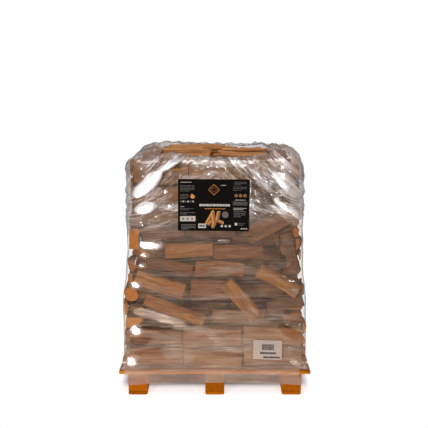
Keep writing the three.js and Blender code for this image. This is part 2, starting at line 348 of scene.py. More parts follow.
def stretch_film():
    """Clear cling film in many turns: milky where it stands off the wood, with drawn streaks."""
    s = Shader("stretch_film")
    sheet = s.attribute("sheet", "Vector")
    haze = s.attribute("haze")
    painted_shade = s.attribute("painted_shade")
    upper = s.attribute("upper")
    streaks = s.noise(s.scaled(sheet, (1, 13, 1)), 5.0, 4, 0.6)
    hairs = s.noise(s.scaled(sheet, (1, 20, 1)), 22, 3, 0.7)
    clouds = s.noise(sheet, 8, 3, 0.5)
    wander = s.mix(0.025, sheet, s.vector_noise(sheet, 14))
    # Painted highlight and shade: cell by cell, facets and slivers of the top turns are made lighter or
    # darker, in colour and opacity.
    facets = s.patchwork(s.scaled(wander, (1, 2.1, 1)), 9)
    slivers = s.patchwork(s.scaled(wander, (1, 3.6, 1)), 21)
    share = s.add(s.span(streaks, 0.3, 0.7, 0.72, 1.22), s.span(hairs, 0.45, 0.75, -0.05, 0.35))
    share = s.times(share, s.span(clouds, 0.3, 0.7, 0.75, 1.25))
    painted_facet_light = s.add(s.span(facets, 0, 1, -0.22, 0.24), s.span(slivers, 0, 1, -0.14, 0.16))
    painted_facet_light = s.add(painted_facet_light, s.span(hairs, 0.40, 0.66, -0.20, 0.34))
    painted_facet_light = s.times(painted_facet_light, upper)
    veil = s.times(haze, s.add(share, painted_facet_light))
    threads = s.noise(s.scaled(sheet, (1, 30, 1)), 7, 3, 0.6)
    clean = s.span(painted_shade, 0, 1, 1, 0)
    veil = s.add(veil, s.times(s.span(threads, 0.52, 0.72, 0, 0.21), clean))
    veil = s.times(veil, s.span(haze, 0.0, 0.05), clamp=True)
    colour = s.ramp(streaks, [(0.3, (0.56, 0.355, 0.240)), (0.7, (0.82, 0.600, 0.460))])
    # Painted highlight and shade: the top turns' colour runs from dark to near white with the facet light.
    drawn = s.ramp(s.add(0.5, painted_facet_light), [
        (0.15, (0.140, 0.085, 0.055)),
        (0.50, (0.350, 0.240, 0.180)),
        (0.85, (0.820, 0.705, 0.650)),
    ])
    colour = s.mix(upper, colour, drawn)
    # Whiter where the film is thickest: partly painted highlight, as the glint facets are thickened.
    colour = s.mix(s.span(haze, 0.62, 0.85), colour, (0.92, 0.86, 0.85))
    # Painted shade: the film turns dark brown at the hem below the deck, at the flares by the deck ends,
    # down the side edges and at the top corners.
    colour = s.mix(painted_shade, colour, (0.31, 0.158, 0.092))
    s.set(Base_Color=colour, Alpha=veil, Roughness=s.span(hairs, 0.3, 0.7, 0.16, 0.30))
    s.set(IOR=1.6, Coat_Weight=1.0, Coat_Roughness=0.09, Coat_IOR=1.8)
    s.bump(s.add(s.times(hairs, 0.45), streaks), 0.0014)
    return s.material


def coated_paper(name, colour, worn, roughness):
    """A label's paper, with paler or darker worn places."""
    s = Shader(name)
    mottling = s.noise(s.position(), 60, 4)
    fibres = s.noise(s.position(), 1400, 2)
    s.set(
        Base_Color=s.mix(s.span(mottling, 0.35, 0.75, 0, 0.6), colour, worn),
        Roughness=s.span(mottling, 0.3, 0.7, roughness, roughness + 0.15),
        Specular_IOR_Level=0.02,
    )
    s.bump(fibres, 0.0002)
    return s.material


WOOD = split_wood()
PALLET = pallet_wood()
STEEL = steel()
FILM = stretch_film()


# Boards and logs. Both are lofted from an outline across them, with the same attributes.


class Batch:
    """Collects lofted pieces of wood and turns them into one object."""

    def __init__(self):
        self.verts, self.faces, self.grain, self.tone, self.bark, self.end = [], [], [], [], [], []
        self.count = 0

    def add(self, verts, faces, grain, tone, bark, end):
        self.faces.extend([tuple(i + self.count for i in face) for face in faces])
        self.tone.append(np.full(len(verts), tone))
        for store, part in ((self.verts, verts), (self.grain, grain), (self.bark, bark), (self.end, end)):
            store.append(part)
        self.count += len(verts)

    def arrays(self):
        return np.concatenate(self.verts), self.faces

    def build(self, name, sharp=40):
        obj = new_object(name, *self.arrays(), sharp)
        give_attribute(obj, "grain", np.concatenate(self.grain), "FLOAT_VECTOR")
        give_attribute(obj, "tone", np.concatenate(self.tone))
        give_attribute(obj, "bark", np.concatenate(self.bark))
        give_attribute(obj, "end", np.concatenate(self.end), domain="FACE")
        return obj


def even_outline(corners, count):
    """count points at even steps round a closed polygon, with its corners eased."""
    closed = np.vstack([corners, corners[:1]])
    steps = np.hypot(*np.diff(closed, axis=0).T)
    along = np.concatenate([[0], np.cumsum(steps)])
    wanted = np.linspace(0, along[-1], count, endpoint=False)
    outline = np.stack([np.interp(wanted, along, closed[:, k]) for k in (0, 1)], axis=1)
    return (np.roll(outline, 1, 0) + 2 * outline + np.roll(outline, -1, 0)) / 4


def loft(outline, stations, centre, axes, relief):
    """A closed solid swept along its third axis. relief(outline, station) moves each ring's points."""
    count = len(outline)
    rings = [np.column_stack([relief(outline, t), np.full(count, t)]) for t in stations]
    faces = grid_faces(len(stations), count, closed=True)
    sides = len(faces)
    local = list(rings)
    first = len(stations) * count
    for ring, start, flip in ((rings[0], 0, True), (rings[-1], first - count, False)):
        middle = ring.mean(axis=0)
        local += [middle + (ring - middle) * 0.5, middle[None, :]]
        hub = first + count
        for i in range(count):
            j = (i + 1) % count
            quad = (start + i, start + j, first + j, first + i)
            fan = (first + i, first + j, hub)
            faces += [quad[::-1], fan[::-1]] if flip else [quad, fan]
        first = hub + 1
    local = np.vstack(local)
    ends = np.zeros(len(faces))
    ends[sides:] = 1
    return np.asarray(centre) + local @ np.asarray(axes), local, faces, ends


def add_log(batch, section, length, centre, axes, seed, bark_from=None, around=30, rings=14, tone=None):
    """Adds a split log. bark_from is where, round its section from 0 to 1, bark begins and ends."""
    outline = even_outline(np.asarray(section), around)
    middle = outline.mean(axis=0)
    turn = np.arange(around) / around
    bark = np.zeros(around)
    if bark_from is not None:
        low, high = bark_from
        bark = ease(turn, low - 0.02, low + 0.02) * (1 - ease(turn, high - 0.02, high + 0.02))
    dice = np.random.default_rng(SEED + seed)
    lean = dice.normal(0, 0.006, 2)
    tone = dice.random() if tone is None else tone
    taper = dice.uniform(-0.02, 0.13) * dice.choice([1, 1, 0])
    shift = dice.random(3) * 20

    def rough(t, fine, coarse, which, extra):
        spots = [turn * fine, (np.full(around, t) + shift[0]) * coarse, np.full(around, shift[which])]
        return noise(np.stack(spots, 1), seed + extra)

    def relief(points, t):
        outward = points - middle
        outward = outward / np.maximum(np.hypot(*outward.T)[:, None], 1e-6)
        fibre, wave, knob = rough(t, 26, 4, 1, 0), rough(t, 5, 7, 2, 1), rough(t, 18, 60, 0, 2)
        push = fibre * 0.0020 + wave * 0.0050 + bark * knob * 0.0024
        sway = lean * math.sin(math.pi * (t / length + 0.5))
        slim = 1 - taper * (t / length + 0.5) - 0.02
        return middle + (points - middle) * slim + outward * push[:, None] + sway

    stations = np.linspace(-length / 2, length / 2, rings)
    world, local, faces, ends = loft(outline, stations, centre, axes, relief)
    sawn = np.abs(local[:, 2]) > length / 2 - 1e-6
    jag = noise(local * 90 + shift, seed + 3) * 0.0012
    world[sawn] += np.outer(jag[sawn], np.asarray(axes)[2])
    barks = np.concatenate([np.tile(bark, rings), np.zeros(len(local) - rings * around)])
    batch.add(world, faces, local + shift, tone, barks, ends)


def node_log(name):
    """Centre, axes, length and section of the straight log that a CAD node holds."""
    points = node_points(name)
    centre = points.mean(axis=0)
    _, vectors = np.linalg.eigh(np.cov((points - centre).T))
    along = vectors[:, -1]
    towards, onward = np.array([0, -1.0, 0]), np.array([1.0, 0, 0])
    if abs(along[1]) > 0.5:
        towards, onward = np.array([0, 0, 1.0]), np.array([0, -1.0, 0])
    along = along * np.sign(along @ onward)
    across = np.cross(towards, along)
    reach = (points - centre) @ along
    rim = points[reach > 0] - centre
    section = np.stack([rim @ across, rim @ towards], axis=1)
    order = np.argsort(np.arctan2(section[:, 1], section[:, 0]))
    return centre, np.stack([across, towards, along]), reach.max() - reach.min(), section[order]


# Front logs, one piece for each node.

# Where bark begins and ends round some of them, by their place in the sorted names.
BARKED = {3: (0.05, 0.30), 8: (0.1, 0.5), 20: (0.1, 0.4), 27: (0.6, 0.9)}
# How pale each front log is, from 0 to 1, in order. Elsewhere tones are drawn at random, but kept dark in
# the heart of the load as painted shade and pale on the top as painted light.
TONES = [
    0.40, 0.54, 0.46, 0.24, 0.42, 0.56, 0.30, 0.05, 0.56, 0.36, 0.60, 0.66, 0.12, 0.36, 0.66,
    0.10, 0.56, 0.24, 0.08, 0.03, 0.22, 0.60, 0.52, 0.66, 0.58, 0.62, 0.56, 0.70, 0.60,
]
# Front logs that lie this level are longer than their nodes by LEVEL_REACH, so that their ends close up.
LEVEL_SLOPE = 0.03
LEVEL_REACH = 0.006
# Two logs lie end on. Their names sort before the others.
END_ON_COUNT = 2
END_ON_TONE = 0.7
# Vertices and faces of everything that the film can lie on.
outer_logs = []


def make_front_logs():
    names = [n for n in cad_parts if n.startswith(("front_log", "end_on_log"))]
    for index, name in enumerate(sorted(names)):
        centre, axes, length, section = node_log(name)
        batch = Batch()
        tone = TONES[index - END_ON_COUNT] if index >= END_ON_COUNT else END_ON_TONE
        length += LEVEL_REACH if abs(axes[2][2]) < LEVEL_SLOPE else 0
        add_log(batch, section, length, centre, axes, 100 + index * 7, BARKED.get(index), 40, 22, tone)
        outer_logs.append(batch.arrays())
        place(batch.build(name.replace("_log", "_split_log")), WOOD, "split_wood", name)


# The stack behind: walls of logs at the sides and back, a rough heart and an open top.

# Outlines across a log, in shares of its width and depth.
SECTIONS = {
    "slab": [(-0.5, -0.46), (0.46, -0.5), (0.5, 0.4), (0.4, 0.5), (-0.46, 0.48)],
    "wedge": [(-0.5, -0.05), (-0.2, -0.5), (0.34, -0.5), (0.5, -0.18), (0.5, 0.44), (-0.44, 0.5)],
    "split": [(-0.5, 0.3), (-0.35, -0.4), (0.1, -0.5), (0.5, -0.2), (0.42, 0.42), (0.0, 0.5)],
}
SECTIONS["quarter"] = [(-0.5, 0.5)] + [
    (-0.5 + math.sin(a * math.pi / 10), 0.5 - math.cos(a * math.pi / 10)) for a in range(6)
]


def pick_section(dice, width, depth):
    """A random section of that size, and where its bark is, if it has any."""
    kind = list(SECTIONS)[dice.integers(len(SECTIONS))]
    section = np.array(SECTIONS[kind]) * (width, depth)
    if dice.random() < 0.5:
        section = (section * (-1, 1))[::-1]
    return section, (0.2, 0.62) if kind == "quarter" else None


# Height, half-width and half-depth of the film's envelope above the deck.
FILM_WIDTHS = np.array([
    [0.150, 0.490, 0.590],
    [0.200, 0.476, 0.574],
    [0.300, 0.474, 0.573],
    [0.500, 0.474, 0.573],
    [0.620, 0.456, 0.573],
    [0.770, 0.443, 0.572],
    [0.900, 0.440, 0.572],
    [1.010, 0.434, 0.572],
    [1.205, 0.426, 0.570],
])
# The top of the load falls away from this place, by this much at the back.
FALL_START = -0.30
FALL_AT_BACK = 0.052


def top_fall(y):
    """How far the top of the load has fallen away at a place from front to back."""
    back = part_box("log_tier_1")[1].y
    return FALL_AT_BACK * max(0.0, (y - FALL_START) / (back - FALL_START))


def stack_half_width(z):
    """How far out the sides of the stack reach, just inside the film's widths."""
    return float(np.interp(z, FILM_WIDTHS[:, 0], FILM_WIDTHS[:, 1])) - 0.002


# A gap at the top of a column is closed with a log of this thickness.
THINNEST = 0.045
# How far the joints of one side wall are from those of the other, halved.
SIDE_STAGGER = 0.026
# How far the side walls stand above the courses between them.
WALL_RISE = 0.004


def drop_column(span, floor, ceiling, dice, thick=(0.070, 0.112), tilt=4.0):
    """Logs dropped one on another in a column: (centre along, height, tilt, length, thickness)."""
    start, stop = span
    samples = np.linspace(start, stop, 24)
    surface = np.full(24, floor)
    logs = []
    while True:
        size = dice.uniform(*thick)
        angle = math.radians(float(np.clip(dice.normal(0, tilt), -2.2 * tilt, 2.2 * tilt)))
        length = (stop - start) * dice.uniform(0.90, 0.985)
        middle = (start + stop) / 2 + dice.uniform(-1, 1) * ((stop - start) - length) / 2
        covered = np.abs(samples - middle) <= length / 2 * math.cos(angle) + 0.004
        rise = math.tan(angle) * (samples - middle)
        half = size / 2 / math.cos(angle)
        height = float(np.max(surface[covered] - rise[covered])) + half + 0.0015
        if height + half + abs(math.tan(angle)) * length / 2 > ceiling:
            size, half = THINNEST, THINNEST / 2
            height = float(np.max(surface)) + half + 0.0015
            angle, rise = 0.0, 0 * samples
            if height + half > ceiling:
                return logs
        surface[covered] = (height + rise + half)[covered]
        logs.append((middle, height, angle, length, size))


def log_axes(outward, along):
    """Axes of a log: across it, outward and along it."""
    return np.stack([np.cross(outward, along), outward, along])


def lying_axes(turn, tip):
    """Axes of a log that lies on the top, turned about the vertical and tipped, in degrees."""
    turn, tip = math.radians(turn), math.radians(tip)
    along = np.array([math.cos(turn) * math.cos(tip), math.sin(turn) * math.cos(tip), math.sin(tip)])
    across = np.cross((0, 0, 1.0), along)
    across /= np.linalg.norm(across)
    return np.stack([across, np.cross(along, across), along])


# Loose logs heaped on the middle of the top: centre, length, turn, tip, width, thickness.
MOUND = [
    (-0.165, -0.230, 1.203, 0.270, 4, 2, 0.100, 0.050),
    (-0.150, -0.100, 1.212, 0.260, -7, -2, 0.096, 0.052),
    (-0.110, 0.040, 1.214, 0.280, 9, 0, 0.104, 0.056),
    (-0.140, 0.180, 1.200, 0.260, -4, 1, 0.096, 0.054),
    (0.115, -0.250, 1.198, 0.250, -5, -1, 0.090, 0.050),
    (0.150, -0.130, 1.202, 0.270, 6, -3, 0.098, 0.050),
    (0.170, 0.010, 1.198, 0.250, -9, 1, 0.100, 0.052),
    (0.140, 0.150, 1.190, 0.260, 5, 0, 0.096, 0.050),
    (0.000, 0.320, 1.176, 0.270, -6, 0, 0.098, 0.050),
    (-0.250, 0.350, 1.170, 0.230, 12, 0, 0.090, 0.050),
    (0.265, 0.330, 1.168, 0.220, -10, 0, 0.092, 0.050),
]
# How thick the walls of logs at the sides and the back are.
WALL = 0.108


class Stack:
    """The logs behind the front face, one batch for each tier, so that each tier's node has its piece."""

    def __init__(self):
        boxes = [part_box(f"log_tier_{i + 1}") for i in range(TIERS)]
        self.batches = [Batch() for _ in range(TIERS)]
        self.floor, self.ceiling = boxes[0][0].z + 0.001, boxes[-1][1].z
        self.front, self.back = boxes[0][0].y, boxes[0][1].y
        self.dice = np.random.default_rng(SEED)
        self.seeds = iter(range(1000, 9000, 5))

    def put(self, height, section, length, centre, axes, **settings):
        """Adds a log to the tier that the height lies in."""
        share = (height - self.floor) / (self.ceiling - self.floor)
        tier = int(np.clip(share * TIERS, 0, TIERS - 1))
        add_log(self.batches[tier], section, length, centre, axes, next(self.seeds), **settings)

    def put_in_wall(self, centre, outward, along, length, size, depth):
        section, bark = pick_section(self.dice, size, depth)
        axes = log_axes(outward, along)
        self.put(centre[2], section, length, centre, axes, bark_from=bark, around=24, rings=10)

    def make_side_walls(self):
        dice = self.dice
        for side in (-1, 1):
            cuts = np.linspace(self.front + 0.004, self.back - WALL - 0.006, 4)
            cuts[1:-1] += side * SIDE_STAGGER
            for start, stop in zip(cuts[:-1], cuts[1:]):
                span = (start + 0.003, stop - 0.003)
                limit = self.ceiling + WALL_RISE - top_fall(stop)
                for y, z, angle, length, size in drop_column(span, self.floor, limit, dice):
                    depth = WALL * dice.uniform(0.86, 1.0)
                    x = side * (stack_half_width(z) - depth / 2 - dice.uniform(0.0, 0.005))
                    along = (0, math.cos(angle), math.sin(angle))
                    self.put_in_wall((x, y, z), (side, 0, 0), along, length, size, depth)

    def make_back_wall(self):
        dice = self.dice
        reach = stack_half_width(0.8)
        limit = self.ceiling - 0.02 - top_fall(self.back)
        cuts = np.linspace(-1, 1, 4)
        for start, stop in zip(cuts[:-1], cuts[1:]):
            span = (start * reach, stop * reach - 0.006)
            for x, z, angle, length, size in drop_column(span, self.floor, limit, dice):
                depth = WALL * dice.uniform(0.86, 1.0)
                y = self.back - depth / 2 - dice.uniform(0.0, 0.012)
                along = (-math.cos(angle), 0, -math.sin(angle))
                self.put_in_wall((x, y, z), (0, 1.0, 0), along, length, size, depth)

    def make_heart(self):
        """Rows between the walls, staggered, with their outer logs run out to the side walls."""
        dice = self.dice
        inner = stack_half_width(self.ceiling) - WALL - 0.01
        rows = np.linspace(self.front + 0.004, self.back - WALL - 0.01, 10)
        for row_start, row_stop in zip(rows[:-1], rows[1:]):
            thick = row_stop - row_start - 0.004
            y = (row_start + row_stop) / 2
            limit = self.ceiling - 0.085 - top_fall(row_stop)
            columns = np.linspace(-inner, inner, 4) + np.array([0, *dice.uniform(-0.045, 0.045, 2), 0])
            for column in range(3):
                span = (columns[column], columns[column + 1] - 0.004)
                logs = drop_column(span, self.floor, limit, dice, (0.085, 0.12), 2.0)
                for x, z, angle, length, size in logs:
                    edge = stack_half_width(z) - WALL + 0.004
                    left = -edge if column == 0 else x - length / 2
                    right = edge if column == 2 else x + length / 2
                    axes = log_axes((0, -1, 0), (math.cos(angle), 0, math.sin(angle)))
                    section, _ = pick_section(dice, size, thick)
                    centre = ((left + right) / 2, y, z)
                    # Painted shade: logs in the heart of the load get dark tones, as they lie in shadow.
                    tone = dice.uniform(0.0, 0.42)
                    self.put(z, section, right - left, centre, axes, around=12, rings=3, tone=tone)

    def make_top(self):
        """The last course, laid loosely over the middle of the load, and the mound on it."""
        dice = self.dice
        inner = stack_half_width(self.ceiling) - 0.10
        cuts = np.linspace(-inner, inner, 4)
        for start, stop in zip(cuts[:-1], cuts[1:]):
            y = self.front + 0.03
            while y < self.back - 0.08:
                width = dice.uniform(0.078, 0.112)
                depth = dice.uniform(0.062, 0.088)
                axes = lying_axes(dice.normal(0, 5), dice.normal(0, 2.5))
                y += width / 2
                length = (stop - start) * dice.uniform(0.92, 1.0)
                x = (start + stop) / 2 + dice.uniform(-0.01, 0.01)
                section, bark = pick_section(dice, width, depth)
                z = self.ceiling - 0.066 - top_fall(y) - dice.uniform(0, 0.016)
                # Painted light: the top course gets pale tones, as if lit from above.
                tone = dice.uniform(0.7, 1.0)
                self.put(z, section, length, (x, y, z), axes, bark_from=bark, tone=tone)
                y += width / 2 + 0.004
        for x, y, z, length, turn, tip, width, depth in MOUND:
            section, _ = pick_section(dice, width, depth)
            # Painted light: the mound on top gets the palest tones.
            tone = dice.uniform(0.88, 1.0)
            self.put(z, section, length, (x, y, z), lying_axes(turn, tip), tone=tone)

    def make_corner_ends(self):
        """Logs laid end on down the front corners, as wide as the front logs leave room for."""
        tree = wood_tree()
        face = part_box("front_log_01")[0].y + 0.008
        axes = log_axes((0, 0, 1.0), (0, -1.0, 0))
        for side in (-1, 1):
            z = self.floor
            while z < self.ceiling - 0.045:
                thick = self.dice.uniform(0.045, 0.080)
                edge = stack_half_width(z + thick / 2) - self.dice.uniform(0, 0.004)
                room = 0.10
                for height in np.linspace(z - 0.004, z + thick + 0.004, 7):
                    for y in np.linspace(face, self.front - 0.01, 4):
                        hit = tree.ray_cast(Vector((side * 0.56, y, height)), Vector((-side, 0, 0)), 0.3)
                        if hit[0] is not None:
                            room = min(room, edge - abs(hit[0].x) - 0.003)
                if room <= 0.010:
                    z += 0.02
                    continue
                section, _ = pick_section(self.dice, room, thick)
                centre = (side * (edge - room / 2), (self.front + face) / 2, z + thick / 2)
                tone = self.dice.uniform(0.05, 0.85)
                long = self.front - face - 0.004
                self.put(z, section, long, centre, axes, around=24, rings=6, tone=tone)
                z += thick + 0.003


def make_stack():
    stack = Stack()
    stack.make_side_walls()
    stack.make_back_wall()
    stack.make_heart()
    stack.make_top()
    stack.make_corner_ends()
    for index, batch in enumerate(stack.batches):
        outer_logs.append(batch.arrays())
        place(batch.build(f"stacked_logs_{index + 1}"), WOOD, "split_wood", f"log_tier_{index + 1}")


# Pallet

# Chamfers of the boards and blocks, and of the skids.
SAWN_EDGE = 0.0022
SKID_EDGE = 0.0055
# Blocks are cut a little short, so that a shadow shows between each block and its skid.
BLOCK_TRIM = 0.95
# Boards are this much slimmer than their nodes, which leaves room for their waves.
SLIM = 0.997


def board_parts(name):
    """Centre, size and axes of a board: thickness, width and length."""
    low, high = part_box(name)
    size = np.array(high - low)
    centre = np.array(high + low) / 2
    order = np.argsort(size)
    if name.startswith("block"):
        order = np.array([0, 2, 1])
    axes = np.zeros((3, 3))
    for row, axis in enumerate(order):
        axes[row, axis] = 1
    if np.linalg.det(axes) < 0:
        axes[2] *= -1
    return centre, size[order], axes


def make_board(name, seed):
    """A sawn board or block: chamfered edges, slight waves, rough ends."""
    centre, (thin, wide, long), axes = board_parts(name)
    edge = SKID_EDGE if name.startswith("skid") else SAWN_EDGE
    a, b = thin / 2, wide / 2
    corners = [(-a + edge, -b), (a - edge, -b), (a, edge - b), (a, b - edge)]
    corners += [(-x, -y) for x, y in corners]
    parts = []
    for first, second in zip(corners, corners[1:] + corners[:1]):
        steps = 8 if abs(first[0] - second[0]) + abs(first[1] - second[1]) > 0.05 else 2
        parts += [np.array(first) + (np.array(second) - first) * k / steps for k in range(steps)]
    dice = np.random.default_rng(SEED + seed)
    shift = dice.random(3) * 20
    tone = dice.random()

    def relief(points, t):
        spot = np.column_stack([points * 22, np.full(len(points), t * 9)]) + shift
        return points * (1 + 0.006 * noise(spot, seed)[:, None]) * SLIM

    long *= BLOCK_TRIM if name.startswith("block") else 1
    stations = np.linspace(-long / 2, long / 2, 14)
    world, local, faces, ends = loft(np.array(parts), stations, centre, axes, relief)
    tips = np.abs(local[:, 2]) > long / 2 - 1e-6
    inward = -np.sign(local[tips, 2]) * np.abs(noise(local[tips] * 120 + shift, seed)) * 0.0010
    world[tips] += np.outer(inward, axes[2])
    batch = Batch()
    batch.add(world, faces, local + shift, tone, np.zeros(len(world)), ends)
    outer_logs.append(batch.arrays())
    place(batch.build(f"sawn_{name}", 25), PALLET, "pallet_wood", name)


def make_nails():
    """Domed nail heads where the deck boards cross the stringers."""
    verts, faces = [], []
    sides, radius = 10, 0.0045
    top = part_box("deck_board_1")[1].z
    dice = np.random.default_rng(SEED + 5)
    turns = [2 * math.pi * k / sides for k in range(sides)]
    for row, column in itertools.product(range(1, 8), ("left", "middle", "right")):
        low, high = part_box(f"deck_board_{row}")
        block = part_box(f"stringer_{column}")
        for u, v in ((0.28, 0.3), (0.72, 0.7)):
            x = block[0].x + (block[1].x - block[0].x) * u + dice.normal(0, 0.004)
            y = low.y + (high.y - low.y) * v + dice.normal(0, 0.006)
            base = len(verts)
            for share, lift in ((1, -0.0012), (1, 0.0002), (0.6, 0.0007)):
                reach = radius * share
                verts += [(x + reach * math.cos(a), y + reach * math.sin(a), top + lift) for a in turns]
            faces += grid_faces(3, sides, closed=True, base=base)
            faces.append(tuple(base + 2 * sides + k for k in range(sides)))
            faces.append(tuple(base + k for k in reversed(range(sides))))
    place(new_object("pallet_nails", verts, faces, 40), STEEL, "pallet_wood")


def make_pallet():
    starts = ("skid", "stringer", "block", "deck_board")
    for index, name in enumerate(sorted(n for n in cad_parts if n.startswith(starts))):
        make_board(name, 300 + index)
    make_nails()


# Film: an envelope round the load, drawn in until it lies on the wood or stands taut across gaps.

# How far out the film hangs round the pallet: in front, at the sides of its feet and of its deck.
HEM_FRONT = 0.603
FEET_HALF = 0.4552
DECK_HALF = 0.5025
# Below this height the hem is drawn up in the middle, by this much.
HEM_TOP = 0.100
HEM_RISE = 0.014
# How many columns of points each stretch of the envelope has.
COLUMNS = {"front": 150, "side": 92, "back": 66, "corner": 13}
# Radii of the upright corners at the top and lower down, and of the edge between side and top.
ROUND = 0.080
LOW_ROUND = 0.036
SHOULDER = 0.034
# How far the film reaches in over the top from each side, before it ends in an open rim.
RIM_INSET = {"side": 0.115, "front": 0.215, "back": 0.170}
# The low strip of film is torn away beyond this place on the right, and TORN_SHIFT further out on the left.
TORN_FROM = 0.435
TORN_SHIFT = 0.035
# How often the film is relaxed. It is then taut.
RELAX_TURNS = 1400
# Distances round the film are measured along the row this many above the deck.
MEASURED_ROW = 40
# The bunched turns at the top corners stand up by themselves, so there they sag no more than this.
HELD_ABOVE = 1.170
HELD_BEYOND = 0.310
HELD_SAG = 0.008


def ring_columns():
    """For each column, its place on the unit rectangle and its outward direction."""
    places, normals = [], []
    corners = [(-1, -1), (1, -1), (1, 1), (-1, 1), (-1, -1)]
    sides = zip(corners, corners[1:], ("front", "side", "back", "side"))
    for start, stop, side in sides:
        outward = ((start[0] + stop[0]) / 2, (start[1] + stop[1]) / 2)
        for k in range(COLUMNS[side]):
            share = k / COLUMNS[side]
            places.append([start[i] + (stop[i] - start[i]) * share for i in (0, 1)])
            normals.append(outward)
        heading = math.atan2(outward[1], outward[0])
        for k in range(COLUMNS["corner"]):
            angle = heading + math.pi / 2 * k / COLUMNS["corner"]
            places.append(stop)
            normals.append((math.cos(angle), math.sin(angle)))
    return np.array(places, float), np.array(normals, float)


def side_rows():
    """Rows of the envelope: height, half-width, half-depth, corner radius, upward lean, inset."""
    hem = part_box("stretch_film")[0].z
    low, high = (corner.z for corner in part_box("deck_board_1"))
    rows = [(z, FEET_HALF, HEM_FRONT, 0.004, 0, 0) for z in np.linspace(hem, low - 0.007, 8)]
    rows.append((low - 0.004, DECK_HALF - 0.01, HEM_FRONT, 0.006, 0, 0))
    rows += [(z, DECK_HALF, HEM_FRONT, 0.006, 0, 0) for z in np.linspace(low - 0.002, high + 0.001, 4)]
    levels = np.vstack([[high, DECK_HALF, HEM_FRONT], FILM_WIDTHS])
    for z in np.linspace(high + 0.006, levels[-1, 0], 152):
        width, depth = (np.interp(z, levels[:, 0], levels[:, k]) for k in (1, 2))
        radius = np.interp(z, [high, high + 0.08, 0.62, 0.82], [0.006, LOW_ROUND, LOW_ROUND, ROUND])
        rows.append((z, width, depth, radius, 0, 0))
    base, width, depth, radius, _, _ = rows[-1]
    for lean in np.linspace(0, math.pi / 2, 15)[1:]:
        inset = SHOULDER * (1 - math.cos(lean))
        rows.append((base + SHOULDER * math.sin(lean), width, depth, radius, lean, inset))
    for share in np.linspace(0, 1, 25)[1:]:
        rows.append((base + SHOULDER, width, depth, radius, math.pi / 2, SHOULDER + share))
    return np.array(rows)


def corner_drop(x, y):
    """How far the top sinks towards its left and back corners, and swells at the right front one."""
    side = ease(np.abs(x), 0.20, 0.44)
    drop = np.where(x < 0, 0.012, np.where(y < 0, -0.016, 0.012))
    return side * drop


def film_envelope():
    """Grid of points on the envelope and their outward directions."""
    places, normals = ring_columns()
    rows = side_rows()
    turn = np.arange(len(places)) / len(places) * 2 * math.pi
    ragged = 0.5 + 0.5 * noise(np.stack([np.cos(turn) * 2.2, np.sin(turn) * 2.2, 0 * turn], 1), 77)
    z, width, depth, radius, lean, inset = (rows[:, k][:, None] for k in range(6))
    over = np.maximum(inset - SHOULDER, 0) * (0.72 + 0.5 * ragged[None, :])
    inset = np.minimum(inset, SHOULDER)
    reach = np.where(places[:, 1] < 0, RIM_INSET["front"], RIM_INSET["back"])
    x = places[:, 0] * (width - radius - inset - RIM_INSET["side"] * over) + normals[:, 0] * radius
    y = places[:, 1] * (depth - radius - inset - reach * over) + normals[:, 1] * radius
    fallen = FALL_AT_BACK * np.clip((y - FALL_START) / (0.56 - FALL_START), 0, None)
    height = z - (fallen + corner_drop(x, y)) * ease(z, 0.95, 1.24)
    hem = z[0]
    low = np.clip(1 - (height - hem) / (HEM_TOP - hem), 0, 1)
    height = height + low * HEM_RISE * np.clip(1 - (x / FEET_HALF) ** 2, 0, 1)
    points = np.stack([x, y, height], axis=2)
    outward = np.stack([
        normals[:, 0] * np.cos(lean),
        normals[:, 1] * np.cos(lean),
        np.broadcast_to(np.sin(lean), x.shape),
    ], axis=2)
    return points, outward, rows


def wood_tree():
    """A search tree of everything the film lies on."""
    verts, faces, count = [], [], 0
    for points, polygons in outer_logs:
        verts.append(points)
        faces.extend([tuple(i + count for i in face) for face in polygons])
        count += len(points)
    return BVHTree.FromPolygons([tuple(p) for p in np.concatenate(verts)], faces)


def film_floor(points, outward, tree, deepest=0.060, start=0.05, clear=0.0016):
    """How far in, along each direction, the film meets wood. Negative is inside the envelope."""
    floor = np.full(points.shape[:2], -deepest)
    for i, j in np.ndindex(*floor.shape):
        way = Vector(outward[i, j])
        hit = tree.ray_cast(Vector(points[i, j]) + way * start, -way, start + deepest)
        if hit[0] is not None:
            floor[i, j] = max(start - hit[3] + clear, -deepest)
    return floor


def draw_taut(floor, pinned, sideways=0.78):
    """Relaxes the film's offset: level with its neighbours unless wood holds it further out."""
    height = floor.copy()
    for _ in range(RELAX_TURNS):
        across = (np.roll(height, 1, 1) + np.roll(height, -1, 1)) / 2
        upright = height.copy()
        upright[1:-1] = (height[:-2] + height[2:]) / 2
        pulled = sideways * across + (1 - sideways) * upright
        height = np.maximum(floor, pulled)
        height[:pinned] = floor[:pinned]
    return height


# Big folds of the top turns on the front: from x, z to x, z, height, reach to each side.
FOLDS = [
    (-0.445, 1.200, -0.160, 1.225, 0.014, 0.045, 0.060),
    (-0.420, 1.045, -0.235, 1.205, 0.016, 0.050, 0.075),
    (-0.430, 0.935, -0.290, 1.040, 0.013, 0.040, 0.060),
    (-0.440, 0.870, -0.190, 0.960, 0.012, 0.035, 0.050),
    (-0.400, 0.835, -0.200, 0.905, 0.008, 0.020, 0.030),
    (0.130, 1.235, 0.400, 1.010, 0.014, 0.060, 0.050),
    (0.230, 1.180, 0.415, 0.930, 0.016, 0.070, 0.045),
    (0.270, 1.265, 0.440, 1.120, 0.016, 0.060, 0.060),
    (0.190, 1.060, 0.330, 0.900, 0.008, 0.030, 0.030),
    (-0.100, 1.245, 0.180, 1.150, 0.010, 0.040, 0.040),
    (0.300, 0.640, 0.455, 0.560, 0.008, 0.030, 0.030),
    (0.290, 0.425, 0.450, 0.375, 0.011, 0.035, 0.020),
    (0.330, 0.330, 0.455, 0.425, 0.010, 0.018, 0.035),
    (0.350, 0.255, 0.460, 0.190, 0.009, 0.020, 0.030),
    (-0.470, 0.480, -0.160, 0.385, 0.009, 0.014, 0.030),
    (-0.440, 0.800, -0.240, 0.820, 0.010, 0.045, 0.045),
]


